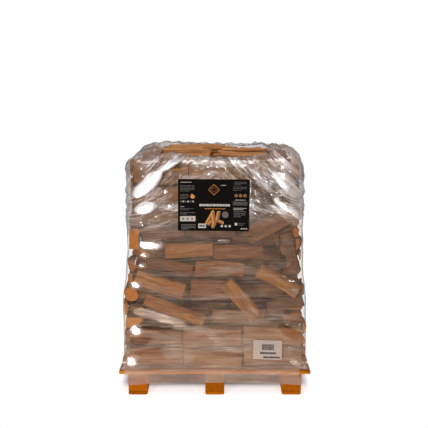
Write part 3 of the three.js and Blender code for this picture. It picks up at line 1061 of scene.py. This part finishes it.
def fold_lift(points, outward):
    """Straight-sided ridges of drawn film on the front face."""
    x, z = points[:, :, 0], points[:, :, 2]
    lift = np.zeros(x.shape)
    for x0, z0, x1, z1, height, above, below in FOLDS:
        run = np.array([x1 - x0, z1 - z0])
        length = np.linalg.norm(run)
        run /= length
        along = ((x - x0) * run[0] + (z - z0) * run[1]) / length
        aside = (z - z0) * run[0] - (x - x0) * run[1]
        roof = np.clip(1 - np.abs(aside) / np.where(aside > 0, above, below), 0, 1)
        taper = np.clip(np.minimum(along, 1 - along) * 3.5, 0, 1)
        lift = np.maximum(lift, height * roof * taper)
    return lift * np.clip(-outward[:, :, 1], 0, 1) ** 2


def label_calm(points, reach=0.03):
    """1 away from the labels, less under them, where the film lies smooth."""
    x, y, z = (points[:, :, k] for k in range(3))
    calm = np.ones(x.shape)
    for node in ("printed_label", "barcode_label"):
        low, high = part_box(node)
        inside = ease(x, low.x - reach, low.x) * (1 - ease(x, high.x, high.x + reach))
        inside = inside * ease(z, low.z - reach, low.z) * (1 - ease(z, high.z, high.z + reach))
        calm = calm - 0.85 * inside * (y < 0)
    return calm


def drawn_height(x, z):
    """A height that runs level along each streak: flat low down, fanning to the corners above."""
    return z + 0.85 * ease(z, 0.80, 1.08) * np.sqrt(x * x + 0.0016)


def crinkle(points, rows, distance):
    """Creases of the film: fine all over, coarse and slanting in the top turns."""
    x, z = points[:, :, 0], points[:, :, 2]
    top = ease(z, 0.84, 1.02)
    inward = np.broadcast_to(rows[:, 5:6], x.shape)
    drawn = drawn_height(x, z)
    wander = 0.4 * noise_2d(distance * 20, z * 20, 48)
    fine = ridged(distance * 6, drawn * 44, 41) ** 2 * 0.0012
    sag = noise_2d(distance * 3.1, z * 5.2, 42) * 0.0030
    fan = ridged(distance * 2.6, drawn * 15, 43) ** 2 * 0.0060
    cross = tents(distance * 9 + wander, drawn * 19, 44) ** 1.5 * 0.0150
    small = ridged(distance * 30 - z * 12, z * 44 + distance * 12, 45) ** 3 * 0.0009
    gather = ridged(distance * 15, z * 3 + inward * 6, 46) ** 3 * 0.014 * ease(inward, 0.03, 0.20)
    above = ease(z, 0.13, 0.18)
    calm_sides = 1 - 0.6 * ease(np.abs(x), 0.40, 0.46)
    return calm_sides * (above * (fine + sag + 0.35 * small) + top * (fan + cross + small)) + gather


# Facets of film that catch a light: x, z, half-length, half-height, lean, tilt to the left, tilt upward.
GLINTS = [
    (-0.325, 0.800, 0.072, 0.029, 0, 9, 7),
    (-0.360, 0.745, 0.020, 0.015, 0, 9, 8),
    (-0.372, 0.690, 0.021, 0.013, 0, 9, 9),
    (-0.405, 0.588, 0.030, 0.022, 0, 9, 10),
    (-0.408, 0.342, 0.033, 0.028, 0, 9, 12),
    (-0.428, 0.178, 0.028, 0.026, 0, 9, 13),
    (-0.345, 1.100, 0.095, 0.030, 40, 9, 2),
    (-0.355, 0.990, 0.052, 0.026, 18, 9, 3),
    (-0.230, 1.205, 0.060, 0.012, 28, 9, 2),
    (0.365, 0.990, 0.085, 0.021, -36, -6, 9),
    (0.320, 1.140, 0.090, 0.012, -48, -6, 9),
    (0.415, 0.560, 0.020, 0.012, -30, -6, 11),
    (0.200, 0.455, 0.026, 0.009, -20, -6, 12),
    (0.425, 0.168, 0.024, 0.013, -20, -6, 15),
    (0.050, 0.820, 0.030, 0.006, 0, -6, 9),
]


def oval(x, z, x0, z0, long, high, lean):
    """How far each place is from the middle of a leaning oval: 1 on its edge."""
    cos, sin = math.cos(math.radians(lean)), math.sin(math.radians(lean))
    along = ((x - x0) * cos + (z - z0) * sin) / long
    aside = ((z - z0) * cos - (x - x0) * sin) / high
    return np.hypot(along, aside)


def flatten_glints(shape):
    """Brings the film out to each facet's plane. Returns the new shape and where the facets are, 0 to 1."""
    x, y, z = (shape[:, :, k] for k in range(3))
    shape, there = shape.copy(), np.zeros(x.shape)
    for x0, z0, long, high, lean, left, up in GLINTS:
        window = (1 - ease(oval(x, z, x0, z0, long, high, lean), 0.80, 1.35)) * (y < -0.45)
        level = y + math.tan(math.radians(left)) * (x - x0) - math.tan(math.radians(up)) * (z - z0)
        if np.any(window > 0.3):
            shape[:, :, 1] -= window * np.maximum(level - level[window > 0.3].min() + 0.0003, 0)
            there = np.maximum(there, window)
    return shape, there


# Milky or clear patches of film on the front: x, z, half-length, half-height, lean, how milky. The milky
# ones on the glint facets are painted highlight.
PATCHES = [
    (-0.330, 1.122, 0.110, 0.036, 42, 0.50),
    (-0.225, 1.212, 0.060, 0.018, 26, 0.34),
    (-0.345, 1.000, 0.062, 0.030, 15, 0.48),
    (-0.147, 1.190, 0.100, 0.030, -6, -0.34),
    (-0.405, 1.165, 0.028, 0.060, 0, -0.28),
    (-0.400, 1.050, 0.060, 0.014, 10, -0.24),
    (-0.190, 1.080, 0.050, 0.080, 30, -0.14),
    (-0.300, 0.905, 0.130, 0.014, 20, 0.20),
    (-0.190, 0.990, 0.110, 0.016, -4, 0.18),
    (0.335, 1.160, 0.110, 0.090, -50, 0.24),
    (0.400, 1.180, 0.045, 0.060, 10, 0.20),
    (0.410, 1.030, 0.040, 0.110, 10, 0.20),
    (0.235, 1.130, 0.170, 0.020, -48, 0.30),
    (0.370, 0.945, 0.120, 0.018, -38, 0.34),
    (0.020, 1.226, 0.230, 0.028, -3, 0.26),
    (0.255, 1.195, 0.050, 0.035, -30, -0.20),
    (0.260, 1.030, 0.040, 0.050, -30, -0.22),
    (-0.300, 0.418, 0.165, 0.028, -17, 0.44),
    (-0.080, 0.345, 0.160, 0.018, -6, 0.22),
    (0.030, 0.280, 0.100, 0.022, -35, 0.18),
    (0.180, 0.415, 0.250, 0.045, 3, 0.14),
    (0.020, 0.265, 0.330, 0.040, 0, 0.10),
    (-0.260, 0.345, 0.140, 0.018, -6, -0.16),
    (-0.390, 0.290, 0.060, 0.030, 0, -0.16),
    (-0.330, 0.225, 0.100, 0.026, 4, -0.14),
    (0.060, 0.215, 0.120, 0.016, 0, -0.12),
    (0.390, 0.330, 0.070, 0.035, -30, -0.16),
    (0.030, 0.525, 0.220, 0.016, 2, 0.14),
    (0.100, 0.665, 0.200, 0.018, -2, 0.12),
    (-0.130, 0.645, 0.300, 0.012, 0, 0.10),
    (0.330, 0.700, 0.060, 0.030, 10, 0.12),
    (0.250, 0.650, 0.150, 0.012, -20, 0.10),
    (-0.240, 0.545, 0.160, 0.030, -12, 0.10),
    (-0.440, 0.530, 0.045, 0.050, 0, -0.30),
    (-0.165, 0.235, 0.120, 0.050, 8, 0.15),
    (0.145, 0.255, 0.110, 0.045, -8, 0.15),
    (-0.150, 0.330, 0.090, 0.030, 0, 0.12),
    (-0.420, 0.830, 0.035, 0.050, 0, -0.24),
]


def milkiness(x, y, z):
    """How much milkier the film is on the front where turns bunch and, as painted highlight, on the glint
    facets, or clearer where turns part.
    """
    milk, clear = np.zeros(x.shape), np.zeros(x.shape)
    ragged = 0.30 * noise_2d(x * 16, z * 30, 71)
    for *where, strength in PATCHES:
        edge = 1 - ease(oval(x, z, *where) + ragged, 0.75, 1.05)
        if strength > 0:
            milk = np.maximum(milk, strength * edge)
        else:
            clear = np.minimum(clear, strength * edge)
    return (milk + clear) * (1 - ease(y, -0.50, -0.42))


def film_haze(shape, gap, distance, glinting, corner):
    """The film's opacity at each point, how far it is darkened as painted shade, and where its top turns
    are.
    """
    x, y, z = (shape[:, :, k] for k in range(3))
    web = noise_2d(distance * 0.6 + 3, z * 9 + distance * 0.5, 61)
    bands = noise_2d(distance * 3, z * 7, 62)
    edge = 0.90 + 0.10 * noise_2d(x * 7, distance * 5, 63) + 0.12 * np.clip(x, -0.1, 0.4)
    upper = ease(z, edge - 0.05, edge + 0.07)
    low = ease(z, 0.15, 0.20)
    flare = (1 - low) * ease(np.abs(x), 0.455, 0.475)
    crown = ease(z, 1.10, 1.16) * ease(np.abs(x), 0.34, 0.40)
    haze = 0.058 + 0.05 * gap + 0.045 * web
    haze += 0.14 * (1 - ease(z, 0.22, 0.52)) + 0.36 * upper
    haze += 0.10 * ease(y, -0.50, -0.30) * np.clip(bands, 0, 1)
    # The glint facets are thickened as painted highlight, which whitens them and strengthens their
    # reflection.
    haze += milkiness(x, y, z) + 0.26 * glinting + 0.55 * corner ** 2 * low
    haze += 0.42 * flare + 0.10 * crown
    # Painted shadow: below the deck the film is made thick and dark brown, where the floor under the pallet
    # lies in shadow.
    under = 1 - ease(z, 0.100, 0.112)
    haze = np.where(z < 0.14, 0.27 + 0.20 * under, haze)
    torn = ease(np.where(x > 0, x, -x - TORN_SHIFT), TORN_FROM, TORN_FROM + 0.012)
    bare = torn * (z > 0.100) * (z < 0.142)
    # Painted shade: dark brown down the side edges, at the flares and at the top corners, where the film is
    # also made thicker above.
    painted_shade = np.maximum(corner * (1 - 0.5 * upper), flare * (z > 0.14))
    painted_shade = np.maximum(np.maximum(under * 0.9, 0.95 * painted_shade), 0.75 * crown)
    return np.maximum(haze, 0.03) * (1 - bare), painted_shade, upper


def make_film():
    points, outward, rows = film_envelope()
    tree = wood_tree()
    floor = film_floor(points, outward, tree)
    first = int(np.argmax(rows[:, 0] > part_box("deck_board_1")[1].z + 0.004))
    floor[:first] = 0
    held = (rows[:, 0] > HELD_ABOVE)[:, None] & (np.abs(points[:, :, 0]) > HELD_BEYOND)
    floor[held] = np.maximum(floor[held], -HELD_SAG)
    height = draw_taut(floor, first)
    ring = points[first + MEASURED_ROW]
    steps = np.linalg.norm(np.diff(ring, axis=0, append=ring[:1]), axis=1)
    distance = np.broadcast_to(np.concatenate([[0], np.cumsum(steps)[:-1]]), height.shape)
    lift = (crinkle(points, rows, distance) + fold_lift(points, outward)) * label_calm(points)
    shape, glinting = flatten_glints(points + outward * (height + lift)[:, :, None])
    film = new_object("stretch_film_wrap", shape.reshape(-1, 3), grid_faces(*height.shape, closed=True))
    gap = np.clip((height - floor) / 0.020, 0, 1)
    # Film that faces sideways gets painted shade in film_haze.
    edge_on = ease(np.abs(outward[:, :, 0]), 0.65, 0.95) * (1 - ease(shape[:, :, 1], -0.52, -0.38))
    corner = np.maximum(0.6 * np.abs(outward[:, :, 0] * outward[:, :, 1]), edge_on)
    haze, painted_shade, upper = film_haze(shape, gap, distance, glinting, corner)
    x, z = shape[:, :, 0], shape[:, :, 2]
    sheet = np.stack([distance, drawn_height(x, z), height * 0], axis=2)
    for name, values in (("haze", haze), ("painted_shade", painted_shade), ("upper", upper)):
        give_attribute(film, name, values)
    give_attribute(film, "sheet", sheet, "FLOAT_VECTOR")
    place(film, FILM, "stretch_film", "stretch_film")
    return film


# Labels, laid on the film where their nodes are. Their print is plain blocks, with no lettering.

PALE = (0.52, 0.47, 0.43)
DIM = (0.10, 0.085, 0.075)
ORANGE = (0.62, 0.24, 0.03)
BROWN = (0.26, 0.085, 0.018)
TAN = (0.62, 0.40, 0.18)
INK = (0.015, 0.012, 0.012)


class Label:
    """A sheet draped on the front of the film. Places on it run from 0 to 1 across and up."""

    def __init__(self, node, film, across=40, up=30):
        self.node = node
        corners = node_points(node)
        self.middle = corners.mean(axis=0)
        flat = (corners - self.middle)[:, [0, 2]]
        top = flat[np.argsort(flat[:, 1])[-4:]]
        right = top[np.argmax(top[:, 0])]
        left = top[np.argmin(top[:, 0])]
        self.across = right - left
        self.width = float(np.linalg.norm(self.across))
        self.turn = math.atan2(self.across[1], self.across[0])
        self.height = float(-2 * (flat @ [-math.sin(self.turn), math.cos(self.turn)]).min())
        self.grid = (across, up)
        u, v = np.meshgrid(np.linspace(-0.02, 1.02, across), np.linspace(-0.02, 1.02, up))
        x, z = self.flat(u, v)
        depth = np.full(u.shape, self.middle[1])
        for i, j in np.ndindex(*u.shape):
            hit = film.ray_cast(Vector((x[i, j], -0.7, z[i, j])), Vector((0, 1, 0)), 0.3)
            if hit[0] is not None:
                depth[i, j] = hit[0].y
        for _ in range(3):
            around = [np.roll(depth, shift, axis) for axis in (0, 1) for shift in (-1, 1)]
            depth = np.minimum(depth, np.minimum.reduce(around))
        for _ in range(30):
            soft = np.pad(depth, 1, mode="edge")
            depth = (soft[:-2, 1:-1] + soft[2:, 1:-1] + soft[1:-1, :-2] + soft[1:-1, 2:]) / 4
        self.depth = depth

    def flat(self, u, v):
        """Row-frame x and z of a place on the label."""
        a, b = (np.asarray(u) - 0.5) * self.width, (np.asarray(v) - 0.5) * self.height
        cos, sin = math.cos(self.turn), math.sin(self.turn)
        return self.middle[0] + a * cos - b * sin, self.middle[2] + a * sin + b * cos

    def spot(self, u, v, lift):
        """The 3-D point a given lift in front of a place on the label."""
        columns, rows = self.grid
        i = np.clip((v + 0.02) / 1.04 * (rows - 1), 0, rows - 1.001)
        j = np.clip((u + 0.02) / 1.04 * (columns - 1), 0, columns - 1.001)
        low, left = int(i), int(j)
        p, q = i - low, j - left
        d = self.depth
        depth = (1 - p) * ((1 - q) * d[low, left] + q * d[low, left + 1])
        depth += p * ((1 - q) * d[low + 1, left] + q * d[low + 1, left + 1])
        x, z = self.flat(u, v)
        return float(x), float(depth - lift), float(z)

    def sheet(self, material, name, slot):
        columns, rows = self.grid
        verts = []
        for lift in (0.0012, 0.0008):
            for v in np.linspace(0, 1, rows):
                verts += [self.spot(u, v, lift) for u in np.linspace(0, 1, columns)]
        size = columns * rows
        faces = []
        for quad in grid_faces(rows, columns):
            faces += [quad, tuple(k + size for k in quad[::-1])]
        places = np.arange(size).reshape(rows, columns)
        edge = [*places[0], *places[1:, -1], *places[-1, -2::-1], *places[-2:0:-1, 0]]
        for a, b in zip(edge, edge[1:] + edge[:1]):
            faces.append((b, a, a + size, b + size))
        place(new_object(name, verts, faces, 40), material, slot, self.node)


class Print:
    """Flat printed shapes on a label, a hair in front of it, each with its ink."""

    def __init__(self, label):
        self.label, self.verts, self.faces, self.inks = label, [], [], []

    def shape(self, points, ink, lift=0.0015):
        base = len(self.verts)
        self.verts += [self.label.spot(u, v, lift) for u, v in points]
        self.faces.append(tuple(range(base, base + len(points))))
        self.inks.append(ink)

    def block(self, u, v, width, height, ink, lift=0.0015):
        cuts = max(1, int(width / 0.06))
        for k in range(cuts):
            a, b = u + width * k / cuts, u + width * (k + 1) / cuts
            self.shape([(a, v), (b, v), (b, v + height), (a, v + height)], ink, lift)

    def disc(self, u, v, radius, ink, lift=0.0015, sides=14):
        tall = radius * self.label.width / self.label.height
        angles = [2 * math.pi * k / sides for k in range(sides)]
        self.shape([(u + radius * math.cos(a), v + tall * math.sin(a)) for a in angles], ink, lift)

    def lines(self, u, v, width, count, step, ink, dice, height=0.010):
        """Blocks that stand for lines of small print."""
        for row in range(count):
            length = width * (1 if row < count - 1 or count == 1 else dice.uniform(0.4, 0.8))
            start = u
            while start < u + length - 0.008:
                word = min(dice.uniform(0.012, 0.045), u + length - start)
                self.block(start, v - row * step, word, height, ink)
                start += word + 0.006

    def build(self, name, material, slot):
        obj = new_object(name, self.verts, self.faces)
        give_attribute(obj, "ink", np.array(self.inks), "FLOAT_VECTOR", "FACE")
        place(obj, material, slot)


def print_ink():
    """Ink of the printed shapes, in the colour that each carries."""
    s = Shader("print_ink")
    mottling = s.noise(s.position(), 220, 3)
    ink = s.attribute("ink", "Color")
    s.set(Base_Color=s.mix(s.span(mottling, 0.35, 0.75, 0, 0.35), ink, (0.05, 0.04, 0.035)))
    s.set(Roughness=s.span(mottling, 0.3, 0.7, 0.35, 0.5))
    return s.material


def dark_print(art, dice):
    """The dark label: columns of small print, a plain diamond, a bar and a few drawn logs."""
    art.lines(0.035, 0.935, 0.16, 1, 0.03, PALE, dice, 0.012)
    art.lines(0.030, 0.870, 0.20, 5, 0.026, DIM, dice)
    art.lines(0.030, 0.700, 0.12, 4, 0.026, DIM, dice)
    art.shape([(0.17, 0.66), (0.20, 0.62), (0.24, 0.65), (0.22, 0.70), (0.19, 0.72)], ORANGE)
    for k in range(6):
        art.block(0.030 + k * 0.034, 0.555, 0.022, 0.030, PALE if k % 2 else DIM)
    art.lines(0.035, 0.465, 0.05, 1, 0.03, PALE, dice, 0.012)
    art.lines(0.030, 0.425, 0.20, 2, 0.024, DIM, dice)
    art.lines(0.030, 0.345, 0.21, 2, 0.026, DIM, dice, 0.014)
    art.block(0.030, 0.185, 0.215, 0.100, PALE)
    for k in range(3):
        art.disc(0.075 + k * 0.062, 0.235, 0.016, BROWN, 0.0018)
    art.lines(0.045, 0.110, 0.20, 4, 0.028, DIM, dice, 0.016)
    art.block(0.285, 0.055, 0.110, 0.085, PALE)
    art.block(0.300, 0.080, 0.080, 0.035, DIM, 0.0018)

    for low, high, ink in ((0.080, 0.072, ORANGE), (0.040, 0.033, BROWN)):
        for k in range(4):
            a, b = math.pi / 2 * k, math.pi / 2 * (k + 1)
            ring = [(low, a), (low, b), (high, b), (high, a)]
            art.shape([(0.505 + r * math.cos(t), 0.80 + r * 1.35 * math.sin(t)) for r, t in ring], ink)
    art.lines(0.300, 0.480, 0.43, 1, 0.03, PALE, dice, 0.042)
    art.lines(0.375, 0.425, 0.30, 1, 0.03, ORANGE, dice, 0.012)
    art.lines(0.600, 0.880, 0.07, 1, 0.03, PALE, dice, 0.012)
    logs = [
        (0.44, 0.23, 62, 0.17, 0.050), (0.50, 0.25, 98, 0.20, 0.055), (0.56, 0.27, 80, 0.16, 0.050),
        (0.57, 0.19, -22, 0.15, 0.045), (0.51, 0.14, 70, 0.13, 0.050), (0.47, 0.17, 38, 0.13, 0.040),
    ]
    for index, (u, v, lean, length, thick) in enumerate(logs):
        draw_log(art, u, v, math.radians(lean), length, thick, 0.0016 + 0.0001 * index)
    art.disc(0.665, 0.315, 0.048, DIM)
    art.lines(0.632, 0.345, 0.07, 3, 0.032, ORANGE, dice, 0.016)
    for k in range(3):
        art.disc(0.620 + k * 0.055, 0.095, 0.017, PALE)

    art.lines(0.790, 0.945, 0.17, 3, 0.026, DIM, dice)
    art.lines(0.770, 0.850, 0.20, 3, 0.030, DIM, dice)
    for k in range(3):
        art.disc(0.815 + k * 0.062, 0.690, 0.024, BROWN)
    art.lines(0.800, 0.600, 0.15, 1, 0.03, PALE, dice)
    art.block(0.770, 0.500, 0.205, 0.075, (0.040, 0.030, 0.025))
    art.lines(0.780, 0.440, 0.19, 2, 0.026, PALE, dice)
    art.lines(0.785, 0.375, 0.17, 4, 0.034, DIM, dice, 0.014)
    art.block(0.800, 0.110, 0.035, 0.050, PALE)
    art.lines(0.850, 0.140, 0.11, 2, 0.028, DIM, dice)
    for k in range(3):
        art.block(0.885 + k * 0.034, 0.038, 0.024, 0.020, PALE)


def draw_log(art, u, v, lean, length, thick, lift):
    """One split log in the drawing: a lit face, a shaded face and a pale end."""
    stretch = art.label.width / art.label.height
    along = (math.cos(lean), math.sin(lean) * stretch)
    aside = (-math.sin(lean), math.cos(lean) * stretch)

    def at(a, b):
        return u + along[0] * a + aside[0] * b, v + along[1] * a + aside[1] * b

    half, edge = length / 2, thick / 2
    near, far = at(-half, edge * 0.2), at(half, edge * 0.1)
    top = at(half * 0.92, edge)
    art.shape([at(-half, -edge), at(half, -edge), far, near], BROWN, lift)
    art.shape([near, far, top, at(-half * 0.95, edge)], ORANGE, lift)
    art.shape([at(half, -edge), at(half * 1.12, -edge * 0.2), top, far], TAN, lift)


def white_print(art, dice):
    """The small label: a bar pattern over two rows of plain blocks."""
    start = 0.30
    while start < 0.72:
        wide = dice.choice([0.008, 0.012, 0.020])
        art.block(start, 0.47, wide, 0.32, INK)
        start += wide + dice.choice([0.008, 0.012])
    art.lines(0.40, 0.90, 0.22, 1, 0.04, (0.30, 0.26, 0.24), dice, 0.024)
    art.lines(0.24, 0.27, 0.56, 1, 0.04, INK, dice, 0.10)
    art.lines(0.36, 0.07, 0.58, 1, 0.04, INK, dice, 0.09)


def make_labels(film):
    dark = coated_paper("black_label_paper", (0.0045, 0.0035, 0.0030), (0.009, 0.006, 0.005), 0.40)
    white = coated_paper("white_label_paper", (0.46, 0.35, 0.30), (0.36, 0.27, 0.23), 0.45)
    ink = print_ink()
    tree = film_tree(film)
    dice = np.random.default_rng(SEED + 9)
    for node, paper, draw, slot in (
        ("printed_label", dark, dark_print, "black_label"),
        ("barcode_label", white, white_print, "white_label"),
    ):
        label = Label(node, tree)
        label.sheet(paper, f"{node}_sheet", slot)
        art = Print(label)
        draw(art, dice)
        art.build(f"{node}_print", ink, slot)


def film_tree(film):
    """A search tree of the film, for the labels that lie on it."""
    mesh = film.data
    return BVHTree.FromPolygons([v.co for v in mesh.vertices], [tuple(p.vertices) for p in mesh.polygons])


# Stage


def area_light(name, location, target, size, power):
    lamp = bpy.data.lights.new(name, "AREA")
    lamp.shape = "RECTANGLE"
    lamp.size, lamp.size_y = size
    lamp.energy = power
    made = bpy.data.objects.new(name, lamp)
    made.location = location
    made.rotation_euler = (Vector(target) - Vector(location)).to_track_quat("-Z", "Y").to_euler()
    bpy.context.collection.objects.link(made)


def make_floor():
    """A pale ground that fades out into the white surroundings, with a painted shadow under the pallet."""
    steps, reach = 110, 1.6
    line = np.linspace(-reach, reach, steps)
    x, y = np.meshgrid(line, line)
    points = np.stack([x, y, 0 * x], axis=2).reshape(-1, 3)
    floor = new_object("floor", points, grid_faces(steps, steps))
    fade = 1 - ease(np.hypot(x, y), 0.80, 1.45)
    # Painted shadow: where the floor lies under the pallet.
    painted_shadow = ease(cad_high.x - np.abs(x), -0.01, 0.05) * ease(y - cad_low.y, 0.09, 0.19)
    painted_shadow = painted_shadow * ease(cad_high.y - y, 0.0, 0.1)
    give_attribute(floor, "fade", fade)
    give_attribute(floor, "shadow_patch", painted_shadow)
    s = Shader("studio_floor")
    shadow_patch = s.attribute("shadow_patch")
    dust = s.span(s.noise(s.position(), 2), 0.3, 0.7)
    open_floor = s.mix(dust, (0.88, 0.88, 0.88), (0.92, 0.92, 0.92))
    # Painted shadow: dark brown under the pallet, which also loses the open floor's glow.
    colour = s.mix(shadow_patch, open_floor, (0.14, 0.10, 0.08))
    s.set(Base_Color=colour, Roughness=0.9, Alpha=s.attribute("fade"))
    s.set(Emission_Color=(1, 1, 1, 1), Emission_Strength=s.span(shadow_patch, 0, 1, 0.64, 0))
    floor.data.materials.append(s.material)


def make_stage():
    """The floor, white surroundings that light the load faintly, and four lamps."""
    make_floor()
    world = bpy.data.worlds.new("studio")
    world.use_nodes = True
    sky = world.node_tree
    seen = sky.nodes.new("ShaderNodeLightPath").outputs["Is Camera Ray"]
    level = sky.nodes.new("ShaderNodeMapRange")
    level.inputs["To Min"].default_value = 0.26
    level.inputs["To Max"].default_value = 1.0
    sky.links.new(seen, level.inputs["Value"])
    sky.links.new(level.outputs["Result"], sky.nodes["Background"].inputs["Strength"])
    sky.nodes["Background"].inputs["Color"].default_value = (1, 1, 1, 1)
    bpy.context.scene.world = world
    middle = (0, 0, (cad_low.z + cad_high.z) / 2)
    area_light("key", (-2.0, -4.4, 0.95), (-0.3, -0.5, 0.8), (0.36, 1.5), 105)
    area_light("key_right", (1.6, -4.6, 1.6), (0.3, -0.5, 0.9), (0.35, 0.35), 23)
    area_light("front_fill", (0.5, -6.0, 3.6), middle, (3.0, 2.0), 45)
    area_light("top", (0, -0.6, 4.2), middle, (2.5, 2.5), 78)


def make_camera():
    data = bpy.data.cameras.new("camera")
    data.lens = 74.8
    camera = bpy.data.objects.new("camera", data)
    camera.location = (-0.004, -5.0, 1.821)
    camera.rotation_euler = (math.radians(90 - 11), 0, 0)
    bpy.context.collection.objects.link(camera)
    bpy.context.scene.camera = camera
    bpy.context.scene.view_settings.view_transform = "Standard"


make_camera()
make_stage()
make_pallet()
make_front_logs()
make_stack()
make_labels(make_film())
